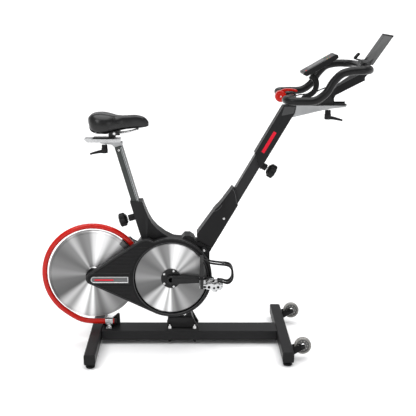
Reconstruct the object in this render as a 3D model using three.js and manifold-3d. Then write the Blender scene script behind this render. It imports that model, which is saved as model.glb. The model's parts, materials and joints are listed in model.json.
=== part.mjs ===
// Indoor cycling bike: V-shaped frame, rear flywheel inside a ring guard, belt drive behind a
// teardrop guard, sliding seat and handlebar posts. Millimetres, +Z up, +X towards the handlebar,
// the drive side at -Y. The origin is on the floor under the middle of the bike.
import * as THREE from 'three';
import { mergeVertices } from 'three/addons/utils/BufferGeometryUtils.js';
import Module from 'manifold-3d';

const wasm = await Module();
wasm.setup();

// ---- driving dimensions -------------------------------------------------------------------
const GAP = 0.3;                       // clearance between pieces that touch
const DEG = Math.PI / 180;

const BEAM = { x0: -492, x1: 319, top: 67.5, bottom: 22, halfWidth: 55, wall: 3 };
const FRONT_FOOT = { x: 344.5, halfLength: 306 };
const REAR_FOOT = { x: -519, halfLength: 334 };
const FOOT_TUBE = { depth: 50, top: 68, bottom: 20, wall: 3, corner: 7 };
const LEVELLER = { pad: 20, padHeight: 11, neck: 12, neckTop: 19, stem: 5, top: 46, inset: 24 };
const CASTOR = { x: 416, y: 226, z: 67, radius: 38, halfWidth: 11, axle: 5, cheek: 3 };

const WHEEL = { x: -528, z: 329, radius: 206, rim: 13 };          // flywheel and ring guard centre
const RING = { radius: 226, tube: 12.4, bore: 10, start: 34, end: 228, tail: -427, low: 95.5 };
const CRANK = { x: -170, z: 327, length: 170, spindle: 7 };       // bottom bracket centre
const FRAME_HALF = 40;                 // half thickness of the cast frame
const FRAME_WALL = 4;
const AXLE = { radius: 12, hole: 12.3 };
const CRANK_AXLE = 10;
const PULLEY = { radius: 158, small: 18, y0: -60, y1: -48 };
const BELT = { y0: -59, y1: -49, clearance: 0.9, thickness: 2.6 };
const DISC = { radius: 164, y0: -67, y1: -63.5 };
const GUARD = { y0: -76, y1: -44, wall: 3, bore: 168.5, x: -170, z: 332, radius: 186, nose: 26 };
const GUARD_EARS = [[-271, 499], [-20, 456], [-108, 151]];         // screw lugs round the guard
const IDLER = { x: -423, z: 280, radius: 14, stud: 5 };
const PEDAL = { y0: -194, y1: -117 };

const SEAT = { tilt: 16.2, x: -331.5, z: 680 };                   // seat tube axis at its mouth
const SEAT_TUBE = { depth: 43, top: -11, bottom: -190, mouth: 677, boreDepth: 34.5, boreWidth: 66,
  bore: -262 };
const PIN = { boss: 15, knob: 32, start: 60, end: 98 };             // pull pins, from the post's axis
const SEAT_POST = { depth: 32, width: 63, top: 256, bottom: -130, wall: 3 };
const SLIDE_BAR = { x0: -554, x1: -392, z0: 943, z1: 960, halfWidth: 28 };
const RAIL_Z = 984;

const POST = { tilt: 30, x: 233, z: 888 };                        // front post axis, from vertical
const FRONT_POST = { depth: 45, width: 56, wall: 3, bottom: -478, top: 60 };
const SLEEVE = { depth: 58.4, width: 66, wall: 4.2, top: 1106.4 };
const BAR_RAIL = { z0: 1107.4, z1: 1112, x0: 372, x1: 603, halfWidth: 26 };
const BAR = { radius: 17, halfWidth: 222, lowZ: 1148, highZ: 1273, rearX: 318, frontX: 672, middleX: 360 };
const SHIFTER = { x: 314, z: 1146, radius: 24.5, halfWidth: 11 };

const PAINT = {
  frame: [0x232323, 0.55, 0.3],
  darkSteel: [0x3c3e40, 0.45, 0.6],
  rubber: [0x141414, 0.9, 0.0],
  red: [0xb61a10, 0.25, 0.1],
  chrome: [0xb8babd, 0.22, 1.0],
  brushed: [0x9fa1a4, 0.35, 1.0],
  silver: [0xc9cbcc, 0.3, 0.9],
  greyCast: [0x8b8e90, 0.5, 0.6],
  plastic: [0x1b1b1c, 0.6, 0.0],
  greyPlastic: [0x808282, 0.6, 0.0],
  wheel: [0x9c9a94, 0.45, 0.0],
  vinyl: [0x1a1a1a, 0.65, 0.0],
};

const bike = new THREE.Group();

// ---- shape helpers ------------------------------------------------------------------------
function part(name, geometry, paint) {
  const [color, roughness, metalness] = PAINT[paint];
  const mesh = new THREE.Mesh(geometry, new THREE.MeshStandardMaterial({ color, roughness, metalness }));
  mesh.name = name;
  bike.add(mesh);
}

function solid(geometry) {
  const bare = geometry.clone();
  bare.deleteAttribute('normal');
  bare.deleteAttribute('uv');
  const merged = mergeVertices(bare, 1e-4);
  return new wasm.Manifold(new wasm.Mesh({
    numProp: 3,
    vertProperties: new Float32Array(merged.attributes.position.array),
    triVerts: new Uint32Array(merged.index.array),
  }));
}

function geometryOf(body) {
  const mesh = body.getMesh();
  const geometry = new THREE.BufferGeometry();
  geometry.setAttribute('position', new THREE.BufferAttribute(new Float32Array(mesh.vertProperties), 3));
  geometry.setIndex(Array.from(mesh.triVerts));
  geometry.computeVertexNormals();
  return geometry;
}

function carve(adds, cuts = []) {
  let body = solid(adds[0]);
  for (const add of adds.slice(1)) body = body.add(solid(add));
  for (const cut of cuts) body = body.subtract(solid(cut));
  return geometryOf(body);
}

function box(x0, x1, y0, y1, z0, z1) {
  const geometry = new THREE.BoxGeometry(x1 - x0, y1 - y0, z1 - z0);
  return geometry.translate((x0 + x1) / 2, (y0 + y1) / 2, (z0 + z1) / 2);
}

function shapeOf(points) {
  return new THREE.Shape(points.map(([a, b]) => new THREE.Vector2(a, b)));
}

// A side-view (x, z) shape made solid between y0 and y1.
function plate(shape, y0, y1, curveSegments = 12) {
  const geometry = new THREE.ExtrudeGeometry(shape, { depth: y1 - y0, bevelEnabled: false, curveSegments });
  return geometry.rotateX(Math.PI / 2).translate(0, y1, 0);
}

// A plan-view (x, y) shape made solid between z0 and z1.
function slab(shape, z0, z1, bevel = 0, curveSegments = 12) {
  const geometry = new THREE.ExtrudeGeometry(shape, {
    depth: z1 - z0 - 2 * bevel,
    bevelEnabled: bevel > 0,
    bevelThickness: bevel,
    bevelSize: bevel,
    bevelOffset: -bevel,
    bevelSegments: 3,
    curveSegments,
  });
  return geometry.translate(0, 0, z0 + bevel);
}

function rodY(x, z, y0, y1, radius, sides = 20) {
  return new THREE.CylinderGeometry(radius, radius, y1 - y0, sides).translate(x, (y0 + y1) / 2, z);
}

function rod(from, to, radius, sides = 14, endRadius = radius) {
  const a = new THREE.Vector3(...from);
  const b = new THREE.Vector3(...to);
  const along = b.clone().sub(a);
  const geometry = new THREE.CylinderGeometry(endRadius, radius, along.length(), sides);
  const turn = new THREE.Quaternion().setFromUnitVectors(new THREE.Vector3(0, 1, 0), along.normalize());
  const middle = a.add(b).multiplyScalar(0.5);
  return geometry.applyQuaternion(turn).translate(middle.x, middle.y, middle.z);
}

// Turned part about the Y axis through (x, z); the profile is [radius, y] and closes on itself.
function turned(x, z, profile, segments = 48) {
  const outline = [...profile, profile[0]].map(([r, y]) => new THREE.Vector2(r, y));
  return new THREE.LatheGeometry(outline, segments).translate(x, 0, z);
}

function roundedRect(x, z, width, height, corner) {
  const shape = new THREE.Shape();
  const [a, b] = [width / 2 - corner, height / 2 - corner];
  shape.absarc(x + a, z + b, corner, 0, Math.PI / 2, false);
  shape.absarc(x - a, z + b, corner, Math.PI / 2, Math.PI, false);
  shape.absarc(x - a, z - b, corner, Math.PI, 1.5 * Math.PI, false);
  shape.absarc(x + a, z - b, corner, 1.5 * Math.PI, 2 * Math.PI, false);
  shape.closePath();
  return shape;
}

function tube(points, radius, sides, steps) {
  const path = new THREE.CatmullRomCurve3(points.map((p) => new THREE.Vector3(...p)), false, 'centripetal');
  const ring = Array.from({ length: sides }, (_, i) => {
    const angle = (2 * Math.PI * i) / sides;
    return [radius * Math.cos(angle), radius * Math.sin(angle)];
  });
  return new THREE.ExtrudeGeometry(shapeOf(ring), { steps, extrudePath: path });
}

const xz = ([x, z], y = 0) => [x, y, z];
const mirrorY = (points) => points.map(([x, y, z]) => [x, -y, z]);
const polar = (x, z, radius, degrees) => [x + radius * Math.cos(degrees * DEG),
  z + radius * Math.sin(degrees * DEG)];

// Annular sector in the side view, centred on the flywheel.
function sector(inner, outer, from, to, pieces = 8) {
  const outline = [];
  for (let i = 0; i <= pieces; i += 1) outline.push(polar(WHEEL.x, WHEEL.z, outer,
    from + ((to - from) * i) / pieces));
  for (let i = pieces; i >= 0; i -= 1) outline.push(polar(WHEEL.x, WHEEL.z, inner,
    from + ((to - from) * i) / pieces));
  return shapeOf(outline);
}

// Side-view helpers for the two slanted post axes: along = distance up the axis, across = forward.
const seatPoint = (along, across) => [
  SEAT.x - along * Math.sin(SEAT.tilt * DEG) + across * Math.cos(SEAT.tilt * DEG),
  SEAT.z + along * Math.cos(SEAT.tilt * DEG) + across * Math.sin(SEAT.tilt * DEG),
];
const postPoint = (along, across) => [
  POST.x + along * Math.sin(POST.tilt * DEG) + across * Math.cos(POST.tilt * DEG),
  POST.z + along * Math.cos(POST.tilt * DEG) - across * Math.sin(POST.tilt * DEG),
];
const strip = (point, bottom, top, depth) => shapeOf([
  point(bottom, -depth / 2), point(bottom, depth / 2), point(top, depth / 2), point(top, -depth / 2),
]);

// Counter-clockwise outline moved inwards by a wall's thickness, with mitred corners.
function inset(points, wall) {
  const normal = ([ax, az], [bx, bz]) => {
    const length = Math.hypot(bx - ax, bz - az);
    return [(az - bz) / length, (bx - ax) / length];
  };
  return points.map((point, i) => {
    const before = normal(points.at(i - 1), point);
    const after = normal(point, points[(i + 1) % points.length]);
    const scale = wall / (1 + before[0] * after[0] + before[1] * after[1]);
    return [point[0] + scale * (before[0] + after[0]), point[1] + scale * (before[1] + after[1])];
  });
}

// Closed loop round two circles joined by their outer tangents (belt line).
function beltLoop(bigRadius, smallRadius) {
  const span = CRANK.x - WHEEL.x;
  const lean = Math.atan2(WHEEL.z - CRANK.z, -span);
  const open = Math.acos((bigRadius - smallRadius) / Math.hypot(span, WHEEL.z - CRANK.z));
  const shape = new THREE.Shape();
  shape.absarc(CRANK.x, CRANK.z, bigRadius, lean + open, lean - open + 2 * Math.PI, false);
  shape.absarc(WHEEL.x, WHEEL.z, smallRadius, lean - open, lean + open, false);
  shape.closePath();
  return shape;
}

// ---- base: beam, stabilisers, end caps, levelling feet, transport wheels -------------------
function footTube(x, inset) {
  const height = FOOT_TUBE.top - FOOT_TUBE.bottom - 2 * inset;
  const middle = (FOOT_TUBE.top + FOOT_TUBE.bottom) / 2;
  return roundedRect(x, middle, FOOT_TUBE.depth - 2 * inset, height, FOOT_TUBE.corner - inset * 0.8);
}

function castorBracket(side) {
  const y = side * CASTOR.y;
  const face = FRONT_FOOT.x + FOOT_TUBE.depth / 2 - 1;
  const inner = CASTOR.halfWidth + 3;
  const outer = inner + CASTOR.cheek;
  const cheek = shapeOf([[face, 34], [face + 8, 30], [CASTOR.x + 9, CASTOR.z - 7],
    [CASTOR.x + 9, CASTOR.z + 7],
    [CASTOR.x, CASTOR.z + 11], [face, 64]]);
  return [
    box(face, face + 4, y - outer, y + outer, 32, 64),
    plate(cheek, y - outer, y - inner),
    plate(cheek, y + inner, y + outer),
    rodY(CASTOR.x, CASTOR.z, y - outer - 3, y + outer + 3, CASTOR.axle, 12),
    rodY(CASTOR.x, CASTOR.z, y - outer - 5, y - outer, 8, 6),
    rodY(CASTOR.x, CASTOR.z, y + outer, y + outer + 5, 8, 6),
  ];
}

function buildStabiliser(name, foot, extras) {
  const outer = plate(footTube(foot.x, 0), -foot.halfLength, foot.halfLength, 3);
  const bore = plate(footTube(foot.x, FOOT_TUBE.wall), -foot.halfLength - 1, foot.halfLength + 1, 3);
  const holes = [-1, 1].map((side) => {
    const y = side * (foot.halfLength - LEVELLER.inset);
    return rod([foot.x, y, FOOT_TUBE.bottom - 2], [foot.x, y, FOOT_TUBE.bottom + 8], LEVELLER.stem + 1, 12);
  });
  let body = solid(outer).subtract(solid(bore));
  for (const hole of holes) body = body.subtract(solid(hole));
  for (const extra of extras) body = body.add(solid(extra));
  part(`${name}_stabiliser`, geometryOf(body), 'frame');
}

function buildFootEnds(name, foot) {
  for (const [label, side] of [['right', -1], ['left', 1]]) {
    const end = side * (foot.halfLength + GAP);
    const cap = plate(footTube(foot.x, 0), Math.min(end, end + side * 4), Math.max(end, end + side * 4), 3);
    const plugEnd = side * (foot.halfLength - 12);
    const plug = box(foot.x - 17, foot.x + 17, Math.min(end, plugEnd) - 0.2, Math.max(end, plugEnd) + 0.2,
      29, 59);
    part(`${name}_end_cap_${label}`, carve([cap, plug]), 'plastic');

    const y = side * (foot.halfLength - LEVELLER.inset);
    const leveller = [[0, 0], [LEVELLER.pad - 2, 0], [LEVELLER.pad, 2], [LEVELLER.pad, LEVELLER.padHeight],
      [LEVELLER.neck, LEVELLER.padHeight], [LEVELLER.neck, LEVELLER.neckTop],
        [LEVELLER.stem, LEVELLER.neckTop],
      [LEVELLER.stem, LEVELLER.top], [0, LEVELLER.top]].map(([r, z]) => new THREE.Vector2(r, z));
    const geometry = new THREE.LatheGeometry(leveller, 16).rotateX(Math.PI / 2).translate(foot.x, y, 0);
    part(`${name}_levelling_foot_${label}`, geometry, 'rubber');
  }
}

function buildBase() {
  const beamBolts = [];
  for (const x of [-177, -62]) {
    for (const y of [-45, 45]) beamBolts.push(rod([x, y, 13], [x, y, BEAM.bottom + 1], 8, 6));
  }
  const beamBore = box(BEAM.x0 - 1, BEAM.x1 + 1, BEAM.wall - BEAM.halfWidth, BEAM.halfWidth - BEAM.wall,
    BEAM.bottom + BEAM.wall, BEAM.top - BEAM.wall);
  const beam = solid(box(BEAM.x0, BEAM.x1, -BEAM.halfWidth, BEAM.halfWidth, BEAM.bottom,
    BEAM.top)).subtract(solid(beamBore));
  part('main_beam', geometryOf(beamBolts.reduce((body, bolt) => body.add(solid(bolt)), beam)), 'frame');

  buildStabiliser('front', FRONT_FOOT, [...castorBracket(-1), ...castorBracket(1)]);
  buildStabiliser('rear', REAR_FOOT, []);
  buildFootEnds('front', FRONT_FOOT);
  buildFootEnds('rear', REAR_FOOT);

  for (const [label, side] of [['right', -1], ['left', 1]]) {
    const y = side * CASTOR.y;
    const w = CASTOR.halfWidth;
    const bore = CASTOR.axle + 0.5;
    const tread = [[bore, y - w - 1], [12, y - w - 1], [30, y - w], [CASTOR.radius - 2, y - w],
      [CASTOR.radius, y - w + 3], [CASTOR.radius, y + w - 3], [CASTOR.radius - 2, y + w], [30, y + w],
      [12, y + w + 1], [bore, y + w + 1]];
    part(`transport_wheel_${label}`, turned(CASTOR.x, CASTOR.z, tread, 22), 'wheel');
  }
}

// ---- frame: cast V frame with seat tube, flywheel arm and lugs ------------------------------
// where the leg shell starts
const legFoot = [-34, 25.8].map((forward) => postPoint(FRONT_POST.bottom - 3, forward));

function frameOutline() {
  const rear = [];
  for (let angle = 36; angle >= -18; angle -= 6) rear.push(polar(WHEEL.x, WHEEL.z, 252, angle));
  return [
    [-353.5, SEAT_TUBE.mouth], [-314, 540], [-301.6, 508], ...rear,
    [-242, 186], [-190, 150], [-186, 134], [-186, 80.4], [-58, 80.4], [-81, 158], [-60, 196], [-14, 238],
      [5, 275],
    [5, 442], legFoot[1], legFoot[0],
    [-58, 492], [-66, 508], [-84, 520], [-108, 520], [-124, 502], [-160, 505], [-198, 525], [-233, 552],
      [-256, 579],
    [-272, 608], [-287, 645], [-298, SEAT_TUBE.mouth],
  ];
}

function buildFrame() {
  const tubeShape = strip(seatPoint, SEAT_TUBE.bottom, SEAT_TUBE.top, SEAT_TUBE.depth);
  const arm = new THREE.Shape();
  arm.moveTo(-278, 222);
  arm.lineTo(-278, 405);
  arm.lineTo(WHEEL.x + 12, WHEEL.z + 31);
  arm.absarc(WHEEL.x, WHEEL.z, 33, 69 * DEG, 291 * DEG, false);
  arm.lineTo(WHEEL.x + 12, WHEEL.z - 37);
  const pivot = polar(WHEEL.x, WHEEL.z, 236, 16);
  const pinBoss = rod(xz(seatPoint(-76, -18)), xz(seatPoint(-76, -54)), PIN.boss, 16);
  const pinHole = rod(xz(seatPoint(-76, -10)), xz(seatPoint(-76, -60)), 7, 12);
  const guardBosses = GUARD_EARS.map(([x, z]) => rodY(x, z, GUARD.y1 + GAP, -FRAME_HALF + 1, 8, 12));
  const skin = plate(shapeOf(frameOutline()), -FRAME_HALF, FRAME_HALF);
  const hollow = plate(shapeOf(inset(frameOutline(), FRAME_WALL)), FRAME_WALL - FRAME_HALF,
    FRAME_HALF - FRAME_WALL);
  const adds = [
    carve([skin], [hollow]),
    rodY(CRANK.x, CRANK.z, -FRAME_HALF, FRAME_HALF, 33, 20),
    plate(tubeShape, -FRAME_HALF, FRAME_HALF),
    plate(arm, -36, -24, 10),
    plate(sector(212.5, 256, 24, 33 - 0.3, 3), -17, 17),
    plate(sector(222, 256, 12, 21, 3), -13, 13),
    rodY(IDLER.x, IDLER.z, PULLEY.y0 - 2, -30, IDLER.stud, 12),
    pinBoss,
    ...guardBosses,
  ];
  const cuts = [
    plate(strip(seatPoint, SEAT_TUBE.bore, SEAT_TUBE.top + 30, SEAT_TUBE.boreDepth),
      -SEAT_TUBE.boreWidth / 2, SEAT_TUBE.boreWidth / 2),
    pinHole,
    rodY(WHEEL.x, WHEEL.z, -50, -10, AXLE.hole, 20),
    rodY(CRANK.x, CRANK.z, -60, 60, 28.3, 24),
    rodY(pivot[0], pivot[1], -20, 20, 4.2, 10),
  ];
  part('main_frame', carve(adds, cuts), 'frame');

  const gusset = shapeOf([[-190, 76], [-45, 76], [-45, 84], [-70, 130], [-184, 130]]);
  const footBolts = [];
  for (const x of [-177, -62]) {
    for (const y of [-50, 50]) footBolts.push(rod([x, y, 76], [x, y, 88], 7, 6));
  }
  part('frame_foot', carve([
    box(-192, -43, -56, 56, BEAM.top + GAP, 80),
    plate(gusset, -FRAME_HALF - 6, -FRAME_HALF - GAP),
    plate(gusset, FRAME_HALF + GAP, FRAME_HALF + 6),
    ...footBolts,
  ]), 'frame');

  buildFrontLeg();
  buildRing();
}

function buildFrontLeg() {
  const start = FRONT_POST.bottom;
  const outer = plate(strip(postPoint, start, FRONT_POST.top, FRONT_POST.depth), -FRONT_POST.width / 2,
    FRONT_POST.width / 2);
  const inner = plate(strip(postPoint, start - 5, FRONT_POST.top + 5, FRONT_POST.depth - 2 * FRONT_POST.wall),
    FRONT_POST.wall - FRONT_POST.width / 2, FRONT_POST.width / 2 - FRONT_POST.wall);
  const height = rod(xz(postPoint(-42, 10)), xz(postPoint(-42, 30)), 6, 12);
  part('front_post', carve([outer], [inner, height]), 'darkSteel');

  const shell = shapeOf([
    postPoint(start, -36), [-51, 498], [-53, 526], [31.6, 645], [47, 660], [63, 680], [107, 741], [122, 724],
    postPoint(-248, 25.8), postPoint(start, 25.8),
  ]);
  const pocket = plate(strip(postPoint, start - 5, -90, FRONT_POST.depth + 2 * GAP),
    -FRONT_POST.width / 2 - GAP, FRONT_POST.width / 2 + GAP);
  const screw = rodY(69, 599, -FRAME_HALF - 1, -FRAME_HALF + 3, 6, 12);
  part('front_leg_shell', carve([plate(shell, -FRAME_HALF, FRAME_HALF)], [pocket, screw]), 'frame');
}

function buildRing() {
  const line = [];
  for (let i = 0; i <= 18; i += 1) {
    line.push(polar(WHEEL.x, WHEEL.z, RING.radius, RING.start + ((RING.end - RING.start) * i) / 18));
  }
  line.push([-642, 133], [-599, 108], [-570, 99.5], [-543, 96.4], [-512, RING.low], [-470, RING.low],
    [RING.tail, RING.low]);
  const path = line.map((point) => xz(point));
  const bore = solid(tube(path, RING.bore, 6, 40));
  part('guard_ring', geometryOf(solid(tube(path, RING.tube, 10, 40)).subtract(bore)), 'red');

  // silver clamp round the ring's tail with its bolt on the beam, and the black mount behind it
  const base = BEAM.top + GAP;
  const mid = -461;
  part('ring_clamp', carve([
    rod([mid - 18, 0, RING.low], [mid + 18, 0, RING.low], RING.tube + 4.5, 16),
    box(mid - 13, mid + 13, -34, 0, base, base + 8),
    rod([mid, -24, base + 7], [mid, -24, base + 22], 10, 6),
  ], [rod([mid - 22, 0, RING.low], [mid + 22, 0, RING.low], RING.tube + 1.6, 16)]), 'silver');
  const mount = shapeOf([[-493, base], [-412, base], [-414, 122], [-423, 125], [-446, 104], [-493, 84]]);
  part('ring_bracket', plate(mount, RING.tube + 6, 34), 'frame');
}

// ---- drive train ---------------------------------------------------------------------------
function crankArm(side) {
  const inner = side < 0 ? 74.6 : 50;
  const forward = side < 0 ? 1 : -1;
  const end = CRANK.x + forward * CRANK.length;
  const arm = shapeOf([
    [CRANK.x - forward * 6, CRANK.z + 19], [CRANK.x + forward * 80, CRANK.z + 16.5], [end, CRANK.z + 13],
    [end + forward * 13, CRANK.z], [end, CRANK.z - 13], [CRANK.x + forward * 80, CRANK.z - 16.5],
    [CRANK.x - forward * 6, CRANK.z - 19], [CRANK.x - forward * 19, CRANK.z],
  ]);
  const at = (y) => side * y;
  const between = (a, b) => [Math.min(at(a), at(b)), Math.max(at(a), at(b))];
  return carve([
    plate(arm, ...between(82, 96)),
    rodY(CRANK.x, CRANK.z, ...between(inner, 96), 19, 20),
    rodY(end, CRANK.z, ...between(90, 199), CRANK.spindle, 14),
  ], [rodY(CRANK.x, CRANK.z, ...between(inner - 5, 94), CRANK_AXLE + GAP, 16)]);
}

function pedalParts(side) {
  const x = CRANK.x - side * CRANK.length;
  const z = CRANK.z;
  const ys = (a, b) => [Math.min(-side * a, -side * b), Math.max(-side * a, -side * b)];
  const [y0, y1] = ys(PEDAL.y0, PEDAL.y1);
  const at = (outline) => shapeOf(outline.map(([dx, dz]) => [x + dx, z + dz]));
  const platform = plate(at([[-42, -7], [-20, -13], [10, -21], [30, -23], [52, -14], [65, 2], [62, 12],
    [36, 20], [10, 20],
    [-20, 15], [-42, 8]]), y0, y1);
  const windows = [[-35, -17], [17, 50]].map(([a, b]) => box(x + a, x + b, y0 + 10, y1 - 10, z - 40, z + 40));
  const trimmed = solid(platform).subtract(solid(windows[0])).subtract(solid(windows[1]))
    .subtract(solid(rodY(x, z, y0 - 1, y1 + 10, CRANK.spindle + 0.4, 14)));

  // toe cage: two bent side bars in front of the pedal, and a webbing loop over the foot
  const outerLine = [[38, 19.8], [62, 12.4], [84, 4], [100, 11], [110, 32], [108, 66], [98, 88],
    [80, 101], [8, 108], [-28, 130]];
  const innerLine = [[-28, 123], [6, 101], [78, 94], [92, 83], [101, 64], [103, 34], [95, 18], [84, 12],
    [64, 20.5], [40, 27]];
  const [c0, c1] = ys(-182, -130);
  const bar = 12;
  const front = box(x + 68, x + 140, c0 + bar, c1 - bar, z - 5, z + 115);
  const over = box(x + 4, x + 60, c0 + bar, c1 - bar, z + 85, z + 120);
  const [s0, s1] = ys(-201, -111);
  const loopOuter = box(x - 40, x - 24, s0, s1, z - 17, z + 130);
  const loopInner = box(x - 45, x - 20, s0 + 3, s1 - 3, z - 14, z + 126);
  const arch = solid(plate(at([...outerLine, ...innerLine]), c0, c1));
  const cage = arch.subtract(solid(front)).subtract(solid(over))
    .add(solid(loopOuter).subtract(solid(loopInner)));
  return [geometryOf(trimmed), geometryOf(cage)];
}

function buildDrive() {
  part('bottom_bracket', turned(CRANK.x, CRANK.z, [[CRANK_AXLE + GAP, -43], [24, -43], [28, -41],
    [28, 41], [24, 46],
    [CRANK_AXLE + GAP, 46]], 24), 'darkSteel');
  part('crank_axle', rodY(CRANK.x, CRANK.z, -93, 93, CRANK_AXLE, 16), 'brushed');
  const bore = CRANK_AXLE + GAP;
  const { y0, y1, radius } = PULLEY;
  part('drive_pulley', turned(CRANK.x, CRANK.z, [[bore, DISC.y1 + GAP], [24, DISC.y1 + GAP], [30, y0 + 3],
    [146, y0 + 1], [radius, y0], [radius, y1], [150, y1], [146, y0 + 5], [34, y0 + 7], [24, y1 + 3],
      [bore, y1 + 3]], 40), 'brushed');
  part('pulley_disc', turned(CRANK.x, CRANK.z, [[bore, DISC.y0], [150, DISC.y0], [DISC.radius - 1.5,
    DISC.y0 + 0.6],
    [DISC.radius, DISC.y0 + 2], [DISC.radius, DISC.y1], [bore, DISC.y1]], 48), 'chrome');
  const bolts = Array.from({ length: 5 }, (_, i) => {
    const [x, z] = polar(CRANK.x, CRANK.z, 38, 72 * i);
    return rodY(x, z, -77, -70, 5, 8);
  });
  part('crank_hub', carve([rodY(CRANK.x, CRANK.z, -74, DISC.y0 - GAP, 45, 30), ...bolts],
    [rodY(CRANK.x, CRANK.z, -80, -60, bore, 16)]), 'plastic');
  part('crank_right', crankArm(-1), 'frame');
  part('crank_left', crankArm(1), 'frame');

  for (const [label, side] of [['right', -1], ['left', 1]]) {
    const [body, cage] = pedalParts(side);
    part(`pedal_${label}`, body, 'silver');
    part(`toe_cage_${label}`, cage, 'plastic');
  }

  const belt = plate(beltLoop(radius + BELT.clearance + BELT.thickness,
    PULLEY.small + BELT.clearance + BELT.thickness),
    BELT.y0, BELT.y1, 20);
  const inside = plate(beltLoop(radius + BELT.clearance, PULLEY.small + BELT.clearance), BELT.y0 - 1,
    BELT.y1 + 1, 20);
  part('drive_belt', carve([belt], [inside]), 'rubber');
  part('belt_idler', turned(IDLER.x, IDLER.z, [[IDLER.stud + 0.4, y0], [IDLER.radius, y0], [IDLER.radius, y1],
    [IDLER.stud + 0.4, y1]], 24), 'brushed');

  part('flywheel', turned(WHEEL.x, WHEEL.z, [[AXLE.hole, -20], [22, -19], [34, -15], [60, -WHEEL.rim],
    [WHEEL.radius - 2, -WHEEL.rim], [WHEEL.radius, 2 - WHEEL.rim], [WHEEL.radius, WHEEL.rim - 2],
    [WHEEL.radius - 2, WHEEL.rim], [156, WHEEL.rim], [150, -4], [50, -4], [44, 16], [AXLE.hole, 16]], 40),
      'chrome');
  part('flywheel_pulley', turned(WHEEL.x, WHEEL.z, [[AXLE.hole, y0], [PULLEY.small, y0], [PULLEY.small, y1],
    [15, y1 + 3], [AXLE.hole, y1 + 3]], 24), 'brushed');
  part('flywheel_axle', rodY(WHEEL.x, WHEEL.z, -66, 22, AXLE.radius, 20), 'darkSteel');

  // eddy-current magnet carrier: two cheeks beside the rim, swinging on one pin
  const pivot = polar(WHEEL.x, WHEEL.z, 236, 16);
  const elbow = polar(WHEEL.x, WHEEL.z, 222, 30);
  const link = shapeOf([[pivot[0] + 9, pivot[1] - 3], [pivot[0] + 7, pivot[1] + 9],
    [elbow[0] + 5, elbow[1] + 8],
    polar(WHEEL.x, WHEEL.z, 212, 38), polar(WHEEL.x, WHEEL.z, 190, 38), [elbow[0] - 14, elbow[1] - 9],
    [pivot[0] - 9, pivot[1] - 7]]);
  const pads = [-1, 1].flatMap((side) => {
    const [a, b] = [Math.min(side * 18, side * 22), Math.max(side * 18, side * 22)];
    return [plate(sector(190, 212, 34, 50, 6), a, b), plate(link, a, b), rodY(pivot[0], pivot[1], a, b,
      10, 14)];
  });
  part('magnet_carrier', carve([rodY(pivot[0], pivot[1], -22, 22, 3.9, 10), ...pads]), 'darkSteel');
}

// ---- belt guard -----------------------------------------------------------------------------
function guardOutline(inset) {
  const shape = new THREE.Shape();
  const nose = GUARD.nose - inset;
  const big = GUARD.radius - inset;
  const noseX = WHEEL.x - 3;
  const noseZ = WHEEL.z - 3;
  shape.absarc(noseX, noseZ, nose, 248 * DEG, 124.5 * DEG, true);
  shape.lineTo(-318 + inset * 0.6, 500 - inset);
  shape.quadraticCurveTo(-282, 524 - inset, -248, 502 - inset);
  shape.absarc(GUARD.x, GUARD.z, big, 112 * DEG, -112 * DEG, true);
  shape.closePath();
  return shape;
}

function buildGuard() {
  const ears = GUARD_EARS.map(([x, z]) => rodY(x, z, GUARD.y1 - 16, GUARD.y1, 13, 18));
  const skin = plate(guardOutline(0), GUARD.y0, GUARD.y1, 12);
  const hollow = plate(guardOutline(GUARD.wall), GUARD.y0 + GUARD.wall, GUARD.y1 + 1, 12);
  const hole = rodY(CRANK.x, CRANK.z, GUARD.y0 - 5, GUARD.y0 + 10, GUARD.bore, 44);
  let body = solid(skin).subtract(solid(hollow)).subtract(solid(hole));
  for (const ear of ears) body = body.add(solid(ear).subtract(solid(hollow)));
  part('belt_guard', geometryOf(body), 'plastic');

  const cuts = [
    rodY(CRANK.x, CRANK.z, -50, -40, 34, 24),
    rodY(WHEEL.x, WHEEL.z, -50, -40, 20, 16),
    rodY(IDLER.x, IDLER.z, -50, -40, 9, 12),
    ...GUARD_EARS.map(([x, z]) => rodY(x, z, -50, -40, 9, 12)),
  ];
  const back = plate(guardOutline(GUARD.wall + 0.6), GUARD.y1 - 2.4, GUARD.y1 - 0.4, 12);
  part('belt_guard_back', carve([back], cuts), 'plastic');
}

// ---- seat post, slide and saddle --------------------------------------------------------------
function lHandle(x, top, height, direction) {
  const reach = direction * 66;
  const grip = rod([x + direction * 6, 0, top - height + 8], [x + reach, 0, top - height - 4], 7.5, 10, 5);
  const stud = rod([x, 0, top - 1], [x, 0, top + 8], 5, 12);
  return carve([rod([x, 0, top - height], [x, 0, top], 14.5, 16), grip, stud]);
}

function popPin(point, along, side, tip) {
  const at = (across) => xz(point(along, side * across));
  return carve([rod(at(tip), at(PIN.start + 1), 5.2, 10), rod(at(PIN.start), at(PIN.end), PIN.knob, 16,
    PIN.knob - 4)]);
}

function saddleOutline(grow) {
  const shape = new THREE.Shape();
  const back = -527 - grow;
  const nose = -264 + grow;
  shape.moveTo(back, 0);
  shape.bezierCurveTo(back, -72 - grow, -486, -92 - grow, -448, -84 - grow);
  shape.bezierCurveTo(-405, -72 - grow, -380, -33 - grow, -330, -25 - grow);
  shape.bezierCurveTo(-300, -21 - grow, nose, -20 - grow, nose, 0);
  shape.bezierCurveTo(nose, 20 + grow, -300, 21 + grow, -330, 25 + grow);
  shape.bezierCurveTo(-380, 33 + grow, -405, 72 + grow, -448, 84 + grow);
  shape.bezierCurveTo(-486, 92 + grow, back, 72 + grow, back, 0);
  return shape;
}

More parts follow.
